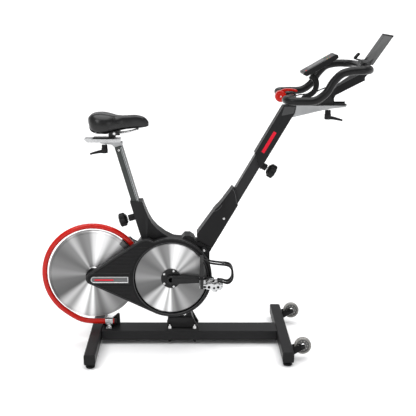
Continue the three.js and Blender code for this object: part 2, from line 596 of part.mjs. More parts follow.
function buildSeat() {
  const wide = SEAT_POST.width / 2;
  const post = plate(strip(seatPoint, SEAT_POST.bottom, SEAT_POST.top, SEAT_POST.depth), -wide, wide);
  const core = plate(strip(seatPoint, SEAT_POST.bottom - 5, SEAT_POST.top + 5,
    SEAT_POST.depth - 2 * SEAT_POST.wall),
    SEAT_POST.wall - wide, wide - SEAT_POST.wall);
  const hole = rod(xz(seatPoint(-76, -5)), xz(seatPoint(-76, -22)), 6, 12);
  part('seat_post', carve([post], [core, hole]), 'darkSteel');

  const head = shapeOf([[-482, 942.4], [-386, 942.4], [-384, 936], seatPoint(SEAT_POST.top + GAP, 20),
    seatPoint(SEAT_POST.top + GAP, -17), [-431, 933], [-482, 939.6]]);
  const slot = box(-492, -440, -6, 6, 900, 960);
  part('seat_head', carve([plate(head, -27, 27)], [slot]), 'greyCast');

  const bar = shapeOf([[SLIDE_BAR.x0, SLIDE_BAR.z1 - 3], [SLIDE_BAR.x0 + 2, SLIDE_BAR.z1],
    [SLIDE_BAR.x1, SLIDE_BAR.z1],
    [SLIDE_BAR.x1, SLIDE_BAR.z0], [SLIDE_BAR.x0 + 16, SLIDE_BAR.z0]]);
  const stud = box(-500, -430, -7, 7, SLIDE_BAR.z0 - 1, SLIDE_BAR.z0 + 12);
  part('seat_slide', carve([plate(bar, -SLIDE_BAR.halfWidth, SLIDE_BAR.halfWidth)], [stud]), 'silver');
  part('seat_slide_handle', lHandle(-465, 930, 38, -1), 'plastic');
  part('seat_pin', popPin(seatPoint, -76, -1, 18), 'plastic');

  const clampPlate = box(-514, -420, -18, 18, SLIDE_BAR.z1 + GAP, 965);
  const stem = box(-446, -414, -12, 12, 964, 978);
  const jaw = box(-442, -394, -30, 30, 976, 994);
  const grooves = [-1, 1].map((side) => rod([-460, side * 20, RAIL_Z], [-380, side * 20, RAIL_Z], 4.2, 12));
  part('saddle_clamp', carve([clampPlate, stem, jaw], grooves), 'frame');

  const rail = [[-510, 38, 1001], [-492, 34, 990], [-466, 22, RAIL_Z], [-440, 20, RAIL_Z], [-394, 20, RAIL_Z],
    [-350, 16, 990], [-318, 11, 1000]];
  const bridge = box(-323, -312, -14, 14, 997, 1005.7);
  const pads = [-1, 1].map((side) => box(-516, -504, side * 38 - 7, side * 38 + 7, 997, 1005.7));
  part('saddle_rails', carve([tube(rail, 3.6, 8, 9), tube(mirrorY(rail), 3.6, 8, 9), bridge, ...pads]),
    'silver');

  part('saddle_base', slab(saddleOutline(-7), 1006, 1015, 0, 5), 'plastic');
  part('saddle_cushion', slab(saddleOutline(0), 1015.5, 1068, 10, 5), 'vinyl');
}

// ---- handlebar post, slide, bars, display, shifter, tray -------------------------------------
function buildSleeve() {
  const half = SLEEVE.depth / 2;
  const tip = postPoint(-58, half);
  const outline = shapeOf([postPoint(-8, -half), [211, 876], [216, 850], tip, postPoint(233, half),
    [380.8, SLEEVE.top], [325.4, SLEEVE.top]]);
  const wide = SLEEVE.width / 2;
  const bore = plate(strip(postPoint, -120, 215, SLEEVE.depth - 2 * SLEEVE.wall), SLEEVE.wall - wide,
    wide - SLEEVE.wall);
  const boss = rod(xz(postPoint(-42, half - 2)), xz(postPoint(-42, half + 24)), PIN.boss, 16);
  const hole = rod(xz(postPoint(-42, half - 10)), xz(postPoint(-42, half + 30)), 7, 12);
  part('bar_post', carve([plate(outline, -wide, wide), boss], [bore, hole]), 'frame');
}

function buildBars() {
  buildSleeve();
  const half = SLEEVE.depth / 2;
  const head = shapeOf([postPoint(233, half + GAP), postPoint(209, half + GAP), [443, 1073.5], [486, 1084],
    [530, 1093], [600, 1100.5], [600, 1107], [381.2, 1107]]);
  const slot = box(490, 560, -7, 7, 1070, 1120);
  part('bar_head', carve([plate(head, -28, 28)], [slot]), 'greyCast');
  part('bar_slide_handle', lHandle(525, 1085, 42, 1), 'plastic');
  part('bar_pin', popPin(postPoint, -42, 1, 23.5), 'plastic');

  // slide plate with its gusset, the bridge to the rear bar and the wedge up to the front bar
  const { z0, z1 } = BAR_RAIL;
  const gusset = shapeOf([[486, z1 - 1], [548, z1 - 1], [546, 1140], [552, 1152], [674, 1226],
    [690, 1244],
    [642, 1240], [556, 1190], [524, 1152]]);
  const wedge = slab(shapeOf([[540, -26], [556, -27], [650, -62], [668, -70], [668, 70], [650, 62],
    [556, 27], [540, 26]]),
    1100, 1300, 0);
  const wedgeSide = plate(shapeOf([[546, 1140], [552, 1152], [686, 1231], [690, 1250], [648, 1246],
    [556, 1190],
    [530, 1158]]), -90, 90);
  const rearBlock = shapeOf([[352, z1 - 1], [420, z1 - 1], [404, 1122], [372, 1128], [340, 1127],
    [345, 1116]]);
  const barTube = handlebarSolid(BAR.radius + GAP, 10, 24);
  const stem = solid(plate(gusset, -24, 24))
    .add(solid(wedgeSide).intersect(solid(wedge)))
    .add(solid(box(BAR_RAIL.x0, BAR_RAIL.x1, -BAR_RAIL.halfWidth, BAR_RAIL.halfWidth, z0, z1)))
    .add(solid(plate(rearBlock, -22, 22)))
    .add(solid(rod([545, 0, 1118], [598, 0, 1118], 5, 10)))
    .subtract(barTube);
  part('bar_stem', geometryOf(stem), 'frame');
  part('handlebar', geometryOf(handlebarSolid(BAR.radius, 10, 24)), 'vinyl');

  buildShifter();
  buildDisplay();
  buildTray();
}

function handlebarSolid(radius, sides, steps) {
  const { halfWidth: w, lowZ, highZ, rearX, frontX, middleX } = BAR;
  const side = [
    [middleX, 3, lowZ - 4], [middleX - 4, -50, lowZ - 4], [rearX + 16, -110, lowZ - 2],
      [rearX + 2, -160, lowZ],
    [rearX + 12, -204, lowZ], [rearX + 52, -w, lowZ], [436, -w - 2, lowZ + 4], [478, -w - 2, lowZ + 33],
    [509, -w, lowZ + 81], [544, -w, highZ - 11], [590, -w + 2, highZ], [634, -w + 10, highZ + 1],
      [662, -180, highZ],
    [frontX, -120, highZ], [frontX, -50, highZ], [frontX, 3, highZ],
  ];
  return solid(tube(side, radius, sides, steps)).add(solid(tube(mirrorY(side), radius, sides, steps)));
}

function buildShifter() {
  const { x, z, radius, halfWidth } = SHIFTER;
  const barX = BAR.middleX;
  const barZ = BAR.lowZ - 4;
  const web = 8.5;
  const link = shapeOf([[x, z - 12], [x + 14, z - 11], [barX - 12, barZ - 19], [barX + 4, barZ - 22],
    [barX + 22, barZ - 8],
    [barX + 22, barZ + 10], [barX - 14, barZ + 19], [x + 20, z + 11], [x + 8, z + 9]]);
  const body = solid(plate(link, -web, web)).add(solid(rodY(x, z, -web, web, 12.6, 20)))
    .add(solid(rodY(barX, barZ, -halfWidth - 9, halfWidth + 9, BAR.radius + 4, 20)))
    .subtract(handlebarSolid(BAR.radius + GAP, 10, 24))
    .subtract(solid(plate(rearBlockClear(), -40, 40)));
  part('shifter_body', geometryOf(body), 'plastic');

  // red lever: a drum in two halves round the body's web, bridged at the back and over the top
  const bridge = [];
  for (let angle = 86; angle <= 206; angle += 15) bridge.push(polar(x, z, radius, angle));
  for (let angle = 206; angle >= 86; angle -= 15) bridge.push(polar(x, z, 14.5, angle));
  const arm = shapeOf([[x - 8, z + 15.5], [x + 2, z + 26], [x + 24, z + 34], [x + 50, z + 33],
    [x + 72, z + 28],
    [x + 70, z + 19], [x + 48, z + 23], [x + 26, z + 23], [x + 12, z + 15.5]]);
  part('shift_lever', carve([
    rodY(x, z, -halfWidth - 9, -web - 0.6, radius, 24), rodY(x, z, web + 0.6, halfWidth + 9, radius, 24),
    plate(shapeOf(bridge), -halfWidth - 9, halfWidth + 9), plate(arm, -halfWidth, halfWidth),
  ]), 'red');
}

// Space kept free under the shifter for the block that joins the slide to the rear bar.
const rearBlockClear = () => shapeOf([[325, 1100], [430, 1100], [430, 1128.5], [325, 1128.5]]);

function buildDisplay() {
  const tilt = 29 * DEG;
  const along = [Math.cos(tilt), Math.sin(tilt)];
  const normal = [-Math.sin(tilt), Math.cos(tilt)];
  const spot = (a, n) => [403 + along[0] * a + normal[0] * n, 1246 + along[1] * a + normal[1] * n];
  const section = shapeOf([spot(0, 0), spot(4, 5), spot(160, 7), spot(168, 2), spot(166, -11), spot(150, -14),
    spot(60, -17), spot(10, -16), spot(2, -9)]);
  part('display', plate(section, -64, 64), 'plastic');
  const under = spot(66, -17.6);
  const stalk = tube([[under[0] + 2, 0, under[1] - 1], [468, 0, 1214], [470, 0, 1190], [462, 0, 1166],
    [440, 0, 1150],
    [420, 0, 1139], [408, 0, 1124]], 12, 10, 12);
  const cutTop = plate(shapeOf([spot(20, -17.5), spot(60, -17.5), spot(120, -15.5), spot(120, 20),
    spot(20, 20)]), -40, 40);
  const cutBottom = box(380, 440, -30, 30, 1080, BAR_RAIL.z1 + GAP);
  const rearBlock = plate(shapeOf([[352, 1111], [420, 1111], [404, 1122.4], [372, 1128.4],
    [340, 1127.4]]), -30, 30);
  part('display_stalk', carve([stalk, rod([412, 0, 1112.3], [418, 0, 1140], 14, 14)], [cutTop, cutBottom,
    rearBlock]), 'plastic');

  // gear cable: shifter body to the stem, clipped beside the display stalk
  const cable = [[384.5, 14, 1147], [400, 18, 1150], [430, 20, 1153], [466, 20, 1160], [496, 20, 1174],
    [524, 18, 1184],
    [543, 16, 1186]];
  part('gear_cable', tube(cable, 2.6, 8, 14), 'rubber');
}

function buildTray() {
  const tilt = 56 * DEG;
  const along = [Math.cos(tilt), Math.sin(tilt)];
  const normal = [-Math.sin(tilt), Math.cos(tilt)];
  const spot = (a, n) => [693 + along[0] * a + normal[0] * n, 1287 + along[1] * a + normal[1] * n];
  const plateSide = shapeOf([spot(0, 0), spot(0, 6), spot(146, 6), spot(148, 3), spot(146, 0)]);
  const ledge = shapeOf([spot(2, -1), [690, 1298], [664, 1304], [640, 1311], [652, 1328], [648, 1331],
    [634, 1313],
    [633, 1306], [660, 1297], spot(-4, 3)]);
  const wide = slab(shapeOf([[600, -14], [650, -14], [670, -60], [690, -92], [860, -97], [860, 97],
    [690, 92], [670, 60],
    [650, 14], [600, 14]]), 1200, 1500);
  const bracket = shapeOf([[654, 1299], [694, 1296], [700, 1286], [691, 1274], [653, 1274]]);
  const barTube = handlebarSolid(BAR.radius + GAP, 10, 24);
  const tray = solid(plate(plateSide, -97, 97)).add(solid(plate(ledge, -70, 70)).intersect(solid(wide)))
    .add(solid(plate(bracket, -30, 30)))
    .subtract(barTube);
  part('device_tray', geometryOf(tray), 'greyPlastic');
}

buildBase();
buildFrame();
buildDrive();
buildGuard();
buildSeat();
buildBars();

export default bike;
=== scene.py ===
"""Indoor cycling bike: the looks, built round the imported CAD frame. Lengths are in millimetres, and MM
turns them into Blender's metres. +X points to the handlebar, +Z up, and the drive side faces -Y."""
import json
from math import copysign, cos, pi, radians, sin, sqrt, tan

import bmesh
import bpy
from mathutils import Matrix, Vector

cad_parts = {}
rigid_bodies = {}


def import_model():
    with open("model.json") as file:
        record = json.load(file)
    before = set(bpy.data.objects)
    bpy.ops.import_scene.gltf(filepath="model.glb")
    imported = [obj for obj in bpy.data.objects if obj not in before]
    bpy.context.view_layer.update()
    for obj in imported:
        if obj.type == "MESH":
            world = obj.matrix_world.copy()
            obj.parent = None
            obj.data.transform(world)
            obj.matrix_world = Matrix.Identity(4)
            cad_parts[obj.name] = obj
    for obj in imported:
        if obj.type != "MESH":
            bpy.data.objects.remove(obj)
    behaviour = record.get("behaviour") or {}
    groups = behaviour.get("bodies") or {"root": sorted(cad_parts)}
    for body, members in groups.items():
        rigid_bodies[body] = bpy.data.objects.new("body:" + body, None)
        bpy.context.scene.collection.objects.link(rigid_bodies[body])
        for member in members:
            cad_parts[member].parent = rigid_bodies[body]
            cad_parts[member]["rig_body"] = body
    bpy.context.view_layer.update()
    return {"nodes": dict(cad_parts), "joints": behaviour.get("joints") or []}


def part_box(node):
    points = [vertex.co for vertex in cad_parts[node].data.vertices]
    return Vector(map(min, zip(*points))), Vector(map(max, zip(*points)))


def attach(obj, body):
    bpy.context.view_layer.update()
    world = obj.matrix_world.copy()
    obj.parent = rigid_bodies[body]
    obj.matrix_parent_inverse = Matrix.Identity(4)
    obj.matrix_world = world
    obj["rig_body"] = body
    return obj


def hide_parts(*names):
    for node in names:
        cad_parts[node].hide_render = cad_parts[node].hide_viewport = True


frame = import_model()

MM = 0.001


def at(x, y, z):
    return Vector((x, y, z))


NODES = frame["nodes"]
JOINTS = {joint["name"]: joint for joint in frame["joints"]}
X, Y, Z = at(1, 0, 0), at(0, 1, 0), at(0, 0, 1)


# ---- where things are, from the frame ----
def pivot(joint):
    return Vector(JOINTS[joint]["pos_m"]) / MM


WHEEL = pivot("flywheel_spin")
CRANK = pivot("crank_turn")
PEDALS = {"right": pivot("pedal_right_spin"), "left": pivot("pedal_left_spin")}
LEVER = pivot("gear_lever_turn")
CASTORS = {"right": pivot("castor_right_roll"), "left": pivot("castor_left_roll")}
SEAT_HANDLE, BAR_HANDLE = pivot("seat_lever_turn"), pivot("bar_lever_turn")
SEAT_UP, BAR_UP = Vector(JOINTS["seat_height"]["axis"]), Vector(JOINTS["bar_height"]["axis"])
SEAT_PIN, BAR_PIN = Vector(JOINTS["seat_pin_pull"]["axis"]), Vector(JOINTS["bar_pin_pull"]["axis"])
GUARD_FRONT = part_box("belt_guard")[0].y / MM
GUARD_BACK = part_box("belt_guard")[1].y / MM
EARS = [(-271, 499), (-20, 456), (-108, 151)]          # screw lugs round the belt guard


def box_of(node):
    return [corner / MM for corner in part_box(node)]


def tilted(corner, degrees):
    """Places on a plate tilted in the side view: a point finder (along, off) and the plate's normal."""
    along = around(radians(degrees))
    normal = at(-along.z, 0, along.x)

    def spot(a, n):
        point = corner + along * a + normal * n
        return point.x, point.z

    return spot, normal


def level(outline, y=0):
    """Side-view (x, z) points as points in space."""
    return [at(x, y, z) for x, z in outline]


def around(angle):
    """A direction in the side view, in radians from +X."""
    return at(cos(angle), 0, sin(angle))


def beside(c, outline):
    """Side-view (x, z) points counted from a centre."""
    return [(c.x + x, c.z + z) for x, z in outline]


# ---- materials ----
class Graph:
    """A node tree. A node's socket takes a plain value or another node's output."""

    def __init__(self, tree):
        self.nodes, self.link = tree.nodes, tree.links.new

    def feed(self, node, sockets):
        for key, value in sockets.items():
            if isinstance(value, bpy.types.NodeSocket):
                self.link(value, node.inputs[key])
            else:
                node.inputs[key].default_value = value

    def add(self, kind, sockets=None, out=0, **settings):
        """Adds a node and returns one of its outputs."""
        node = self.nodes.new("ShaderNode" + kind)
        for key, value in settings.items():
            setattr(node, key, value)
        self.feed(node, sockets or {})
        return node.outputs[out]

    def place(self):
        return self.add("TexCoord", out="Object")

    def noise(self, place, scale, detail=3):
        return self.add("TexNoise", {"Scale": scale, "Detail": detail, "Vector": place})

    def ramp(self, fac, stops, interpolation="LINEAR"):
        node = self.nodes.new("ShaderNodeValToRGB")
        elements = node.color_ramp.elements
        node.color_ramp.interpolation = interpolation
        elements[0].position, elements[1].position = stops[0][0], stops[-1][0]
        for position, _ in stops[1:-1]:
            elements.new(position)
        for element, (_, colour) in zip(sorted(elements, key=lambda e: e.position), stops):
            element.color = (*colour, 1)
        self.link(fac, node.inputs["Fac"])
        return node.outputs["Color"]

    def gloss(self, fac, low, high):
        return self.add("MapRange", {"To Min": low, "To Max": high, "Value": fac})

    def relief(self, height, strength, distance):
        return self.add("Bump", {"Strength": strength, "Distance": distance, "Height": height})


def material(name, **constants):
    """A new material, its graph and its shader, with constants such as Coat_Weight on the shader."""
    look = bpy.data.materials.new(name)
    look.use_nodes = True
    graph = Graph(look.node_tree)
    shader = graph.nodes["Principled BSDF"]
    graph.feed(shader, {key.replace("_", " "): value for key, value in constants.items()})
    return look, graph, shader


def shade(colour, factor):
    return tuple(min(1, c * factor) for c in colour)


def grey(value):
    return (value, value, value)


def surface(name, colour, rough, metallic=0.0, grain=900, bump=0.05, patches=14, spread=0.18, edge_highlight=0.0,
    coat=0.0, stretch=None, specular=0.5):
    """A coated, moulded or machined surface: patchy colour and gloss, fine relief, and sharp edges lightened
    as a painted highlight.
    """
    look, graph, shader = material(name, Metallic=metallic, Specular_IOR_Level=specular, Coat_Weight=coat,
        Coat_Roughness=0.08)
    place = graph.place()
    base = graph.ramp(graph.noise(place, patches),
        [(0.3, shade(colour, 1 - spread)), (0.7, shade(colour, 1 + spread))])
    if edge_highlight:
        # Painted highlight: sharp edges, found by pointiness, are lightened towards five times the surface
        # colour.
        edge = graph.add("NewGeometry", out="Pointiness")
        highlight_mask = graph.ramp(edge, [(0.505, grey(0)), (0.56, grey(edge_highlight))])
        highlight_colour = (*shade(colour, 5), 1)
        base = graph.add("Mix", {"Factor": highlight_mask, "A": base, "B": highlight_colour}, "Result", data_type="RGBA")
    if stretch:
        place = graph.add("Mapping", {"Scale": stretch, "Vector": place})
    fine = graph.noise(place, grain, 2)
    graph.feed(shader, {"Base Color": base,
        "Roughness": graph.gloss(fine, rough * 0.82, min(1, rough * 1.18)),
        "Normal": graph.relief(fine, bump, 0.0004)})
    return look


# Painted reflection: grey of the radial streaks on the lathe-brushed discs round a full turn, in degrees
# from straight ahead.
REFLECTION_STREAKS = [(0, .25), (18, .15), (34, .44), (42, .29), (52, .62), (60, .42), (70, .76), (79, .97), (87, .70),
    (96, .25), (108, .19), (120, .47), (128, .23), (146, .15), (164, .20), (178, .28), (192, .15),
    (212, .12), (225, .54), (234, .33), (246, .88), (254, .97), (260, .44), (267, .92), (274, .29),
    (282, .17), (296, .38), (312, .21), (336, .16), (360, .25)]


def brushed_disc(name):
    """Bright metal brushed in circles about the object's own Y axis, with radial streaks of reflection
    painted into its colour by angle round that axis.
    """
    look, graph, shader = material(name, Metallic=0.85, Anisotropic=0.6)
    split = graph.add("SeparateXYZ", {"Vector": graph.place()}).node.outputs
    angle = graph.add("Math", {0: split["Z"], 1: split["X"]}, operation="ARCTAN2")
    turn = graph.add("Math", {0: angle, 1: 2 * pi}, operation="DIVIDE")
    whole = graph.add("Math", {0: turn}, operation="FRACT")
    # The streaks are painted reflection, set by angle round the disc's axis.
    painted_streaks = graph.ramp(whole, [(degrees / 360, grey(value)) for degrees, value in REFLECTION_STREAKS], "EASE")
    flat = graph.add("CombineXYZ", {"X": split["X"], "Z": split["Z"]})
    radius = graph.add("VectorMath", {0: flat}, "Value", operation="LENGTH")
    lines = graph.add("TexNoise", {}, noise_dimensions="1D")
    graph.feed(lines.node, {"Scale": 1400, "W": radius})
    fleck = graph.ramp(lines, [(0.25, grey(0.86)), (0.75, grey(1))])
    base = graph.add("Mix", {"Factor": 1, "A": painted_streaks, "B": fleck}, "Result", data_type="RGBA",
        blend_type="MULTIPLY")
    graph.feed(shader, {"Base Color": base, "Roughness": graph.gloss(lines, 0.30, 0.42),
        "Tangent": graph.add("Tangent", direction_type="RADIAL", axis="Y")})
    return look


def grained_vinyl(name, colour):
    """Leather-grained vinyl: cells of pebble with creases between them."""
    look, graph, shader = material(name, Sheen_Weight=0.0, Specular_IOR_Level=0.38)
    place = graph.place()
    cells = graph.add("TexVoronoi", feature="DISTANCE_TO_EDGE", out="Distance")
    graph.feed(cells.node, {"Scale": 620, "Vector": place})
    broad = graph.noise(place, 18)
    graph.feed(shader, {"Base Color": graph.ramp(broad,
        [(0.3, shade(colour, 0.8)), (0.7, shade(colour, 1.3))]),
        "Roughness": graph.gloss(broad, 0.24, 0.33), "Normal": graph.relief(cells, 0.25, 0.0003)})
    return look


def webbing(name, colour):
    """Woven strap: fine diagonal ribs, with painted shade in their troughs and painted highlight on their
    crests.
    """
    look, graph, shader = material(name, Roughness=0.8)
    weave = graph.add("TexWave", {"Scale": 320, "Vector": graph.place()}, "Fac", bands_direction="DIAGONAL")
    # Colour follows the weave's relief: painted shade in the troughs, painted highlight on the ribs.
    graph.feed(shader, {"Base Color": graph.ramp(weave,
        [(0.0, shade(colour, 0.6)), (1.0, shade(colour, 1.5))]),
        "Normal": graph.relief(weave, 0.4, 0.0005)})
    return look


BLACK_COAT = surface("black_powder_coat", (0.0058, 0.0058, 0.006), 0.42, grain=1500, bump=0.10, edge_highlight=0.5,
    specular=0.12)
BLACK_ALLOY = surface("black_satin_alloy", (0.005, 0.005, 0.0052), 0.3, grain=1200, edge_highlight=0.5, specular=0.2)
POST_COAT = surface("grey_satin_coat", (0.022, 0.0245, 0.0235), 0.42, metallic=0.2, grain=1500, bump=0.06,
    edge_highlight=0.3, specular=0.3)
DARK_STEEL = surface("dark_steel", grey(0.10), 0.35, metallic=0.9, grain=700)
RED_GLOSS = surface("red_gloss_enamel", (0.47, 0.009, 0.004), 0.2, grain=400, bump=0.02, spread=0.08,
    coat=0.12, specular=0.22)
RED_STRIPE = surface("red_stripe_film", (0.62, 0.004, 0.022), 0.45, bump=0.03, spread=0.06, specular=0.2)
SILVER = surface("satin_silver_alloy", (0.50, 0.505, 0.51), 0.28, metallic=0.9, grain=500, bump=0.06,
    spread=0.08, stretch=(0.1, 1, 1))
POLISHED = surface("polished_steel", grey(0.70), 0.16, metallic=1, grain=600, bump=0.02, spread=0.1)
MACHINED = surface("machined_alloy", (0.40, 0.40, 0.41), 0.32, metallic=0.9, bump=0.06)
CAST_GREY = surface("cast_grey_alloy", (0.24, 0.245, 0.25), 0.42, metallic=0.6, grain=1800, bump=0.12,
    edge_highlight=0.2)
# Painted highlight: a bright metal strip standing in for the reflection along the seat post's front edge.
POST_HIGHLIGHT = surface("painted_post_highlight", (0.45, 0.46, 0.47), 0.3, metallic=0.85, grain=700,
    stretch=(1, 1, 0.08))
PLASTIC = surface("black_moulded_plastic", (0.0055, 0.0055, 0.0057), 0.38, grain=2200, bump=0.10, edge_highlight=0.4,
    specular=0.14)
SOFT_BLACK = surface("soft_grip_coat", (0.006, 0.006, 0.0062), 0.3, grain=2600, bump=0.08, spread=0.12,
    specular=0.2)
# Painted shade: a near black drawn where bolt sockets, grooves and openings would lie in shade.
RECESS_SHADE = surface("painted_recess_shade", grey(0.002), 0.7, specular=0.1)
RUBBER = surface("black_rubber", grey(0.007), 0.7, grain=1100, bump=0.15, specular=0.2)
TRAY_GREY = surface("grey_moulded_plastic", (0.06, 0.061, 0.061), 0.5, grain=2000, bump=0.08, spread=0.06,
    edge_highlight=0.15, specular=0.3)
FACE_GREY = surface("display_face", (0.05, 0.05, 0.052), 0.36, grain=1500, bump=0.04, spread=0.08,
    specular=0.3)
SCREEN = surface("display_window", (0.012, 0.013, 0.014), 0.16, grain=300, bump=0.01, coat=0.2,
    specular=0.3)
URETHANE = surface("grey_urethane", (0.22, 0.215, 0.20), 0.3, grain=260, bump=0.08, patches=160, spread=0.5)
CAP_GREY = surface("grey_cap_film", (0.036, 0.036, 0.037), 0.34, grain=1500, spread=0.1, specular=0.4)
POST_DARK = surface("dark_grey_satin_coat", (0.009, 0.009, 0.0094), 0.38, grain=1500, bump=0.06, edge_highlight=0.3,
    specular=0.18)
# Painted highlight: a lighter grey laid on thin lines along rounded edges and creases.
HIGHLIGHT_LINE = surface("painted_highlight_line", (0.045, 0.045, 0.046), 0.35, grain=1500, bump=0.04, specular=0.4)
BADGE_FIELD = surface("brushed_badge_field", (0.12, 0.12, 0.122), 0.3, metallic=0.85, stretch=(0.05, 1, 1))
VINYL = grained_vinyl("black_grained_vinyl", (0.0045, 0.0045, 0.0048))
STRAP = webbing("black_webbing", grey(0.014))
DISC = brushed_disc("circular_brushed_alloy")
MARKS = {name: surface(f"mark_{name}", colour, 0.4, grain=500, bump=0.01, spread=0.05) for name,
    colour in {"red": (0.8, 0.02, 0.03), "green": (0.05, 0.45, 0.12), "amber": (0.75, 0.35, 0.02),
    "white": grey(0.8)}.items()}


# ---- shape helpers: each returns (points, faces), in millimetres ----
def prism(outline, y0, y1):
    """A side-view (x, z) outline made solid from y0 to y1."""
    n = len(outline)
    points = [(x, y0, z) for x, z in outline] + [(x, y1, z) for x, z in outline]
    sides = [(i, (i + 1) % n, n + (i + 1) % n, n + i) for i in range(n)]
    return points, [tuple(range(n)), tuple(range(2 * n - 1, n - 1, -1)), *sides]


def block(x0, x1, y0, y1, z0, z1):
    return prism([(x0, z0), (x1, z0), (x1, z1), (x0, z1)], y0, y1)


def skin(loops, closed=False, caps=True):
    """Joins loops that have the same number of points, in order."""
    n = len(loops[0])
    points = [tuple(p) for loop in loops for p in loop]
    faces = []
    for a in range(len(loops) if closed else len(loops) - 1):
        b = (a + 1) % len(loops)
        faces += [(a * n + i, a * n + (i + 1) % n, b * n + (i + 1) % n, b * n + i) for i in range(n)]
    if caps and not closed:
        faces += [tuple(range(n)), tuple(range(len(points) - 1, len(points) - n - 1, -1))]
    return points, faces


def across(axis):
    """Two directions square to an axis and to each other."""
    side = axis.cross(X if abs(axis.x) < 0.9 else Z).normalized()
    return side, axis.cross(side).normalized()


def revolve(origin, axis, profile, segments=48, flutes=0, depth=0.0):
    """Turned solid: profile is (radius, height) along the axis. Flutes press waves into its side."""
    side, up = across(axis)
    loops = []
    for radius, height in profile:
        loop = []
        for i in range(segments):
            angle = 2 * pi * i / segments
            wave = 1 - depth * (0.5 + 0.5 * cos(flutes * angle)) ** 2 if flutes else 1
            loop.append(origin + axis * height + (side * cos(angle) + up * sin(angle)) * radius * wave)
        loops.append(loop)
    return skin(loops)


def ring_of(origin, axis, profile, segments=96):
    """Turned solid with a hole: the profile closes on itself."""
    side, up = across(axis)
    loops = []
    for i in range(segments):
        angle = 2 * pi * i / segments
        out = side * cos(angle) + up * sin(angle)
        loops.append([origin + axis * height + out * radius for radius, height in profile])
    return skin(loops, closed=True)


def spline(controls, steps, closed=False):
    """Smooth line through the controls (centripetal Catmull-Rom)."""
    points = [Vector(c) for c in controls]
    count = len(points)
    line = []
    spans = count if closed else count - 1
    for i in range(spans):
        if closed:
            a, b, c, d = (points[(i + k) % count] for k in (-1, 0, 1, 2))
        else:
            b, c = points[i], points[i + 1]
            a = points[i - 1] if i else b * 2 - c
            d = points[i + 2] if i + 2 < count else c * 2 - b
        knots = [0.0]
        for p, q in ((a, b), (b, c), (c, d)):
            knots.append(knots[-1] + max(1e-3, (q - p).length) ** 0.5)
        t0, t1, t2, t3 = knots
        for k in range(steps):
            t = t1 + (t2 - t1) * k / steps
            ab = a.lerp(b, (t - t0) / (t1 - t0))
            bc = b.lerp(c, (t - t1) / (t2 - t1))
            cd = c.lerp(d, (t - t2) / (t3 - t2))
            abc = ab.lerp(bc, (t - t0) / (t2 - t0))
            bcd = bc.lerp(cd, (t - t1) / (t3 - t1))
            line.append(abc.lerp(bcd, (t - t1) / (t2 - t1)))
    return line if closed else line + [points[-1]]


def round_section(sides):
    return [(cos(2 * pi * i / sides), sin(2 * pi * i / sides)) for i in range(sides)]


def box_section(wide, thick, corner, steps=3):
    """Rounded rectangle; wide runs along the sweep's reference direction."""
    section = []
    for cx, cy, start in ((1, 1, 0), (-1, 1, 90), (-1, -1, 180), (1, -1, 270)):
        for k in range(steps + 1):
            angle = radians(start + 90 * k / steps)
            section.append((cx * (thick / 2 - corner) + corner * cos(angle),
                cy * (wide / 2 - corner) + corner * sin(angle)))
    return section


def sweep(line, section, scale=1.0, reference=Y, closed=False, round_ends=0.0):
    """Moves a section along a line. Scale is a number or one for each point of the line."""
    line = [Vector(p) for p in line]
    count = len(line)
    scales = list(scale) if isinstance(scale, (list, tuple)) else [scale] * count
    if round_ends:
        for sign, end, index in ((-1, 0, 1), (1, -1, -2)):
            out = (line[end] - line[index]).normalized()
            for turn in (0.5, 0.8, 0.97):
                tip = line[end] + out * round_ends * sin(turn * pi / 2) * (1 if turn == 0.5 else 0.5)
                ratio = scales[end] * cos(turn * pi / 2)
                if sign < 0:
                    line.insert(0, tip)
                    scales.insert(0, ratio)
                else:
                    line.append(tip)
                    scales.append(ratio)
        count = len(line)
    loops = []
    for i, point in enumerate(line):
        before = line[i - 1] if i or closed else point
        after = line[(i + 1) % count] if i < count - 1 or closed else point
        along = (after - before).normalized()
        side = along.cross(reference).normalized()
        up = side.cross(along).normalized()
        loops.append([point + (side * a + up * b) * scales[i] for a, b in section])
    return skin(loops, closed=closed)


def arc(x, z, radius, start, end, steps):
    """Points of a circle in the side view, in degrees."""
    angles = [radians(start + (end - start) * i / steps) for i in range(steps + 1)]
    return [(x + radius * cos(a), z + radius * sin(a)) for a in angles]


def fillet(outline, radii, steps=5):
    """Rounds the corners of an outline; radii is one number or one for each corner."""
    radii = radii if isinstance(radii, (list, tuple)) else [radii] * len(outline)
    smooth = []
    for i, (point, radius) in enumerate(zip(outline, radii)):
        here = Vector(point)
        back = Vector(outline[i - 1]) - here
        ahead = Vector(outline[(i + 1) % len(outline)]) - here
        bend = back.angle(ahead)
        if radius <= 0 or bend > radians(176):
            smooth.append(tuple(here))
            continue
        reach = min(radius / tan(bend / 2), back.length * 0.48, ahead.length * 0.48)
        a, b = here + back.normalized() * reach, here + ahead.normalized() * reach
        for k in range(steps + 1):
            t = k / steps
            smooth.append(tuple(a * (1 - t) ** 2 + here * 2 * t * (1 - t) + b * t ** 2))
    return smooth


def inset(outline, wall):
    """A counter-clockwise outline moved inwards, or outwards if wall is negative."""
    moved = []
    for i, point in enumerate(outline):
        here = Vector(point)
        into = (here - Vector(outline[i - 1])).normalized()
        out = (Vector(outline[(i + 1) % len(outline)]) - here).normalized()
        first, second = Vector((-into.y, into.x)), Vector((-out.y, out.x))
        moved.append(tuple(here + (first + second) * wall / (1 + first.dot(second))))
    return moved


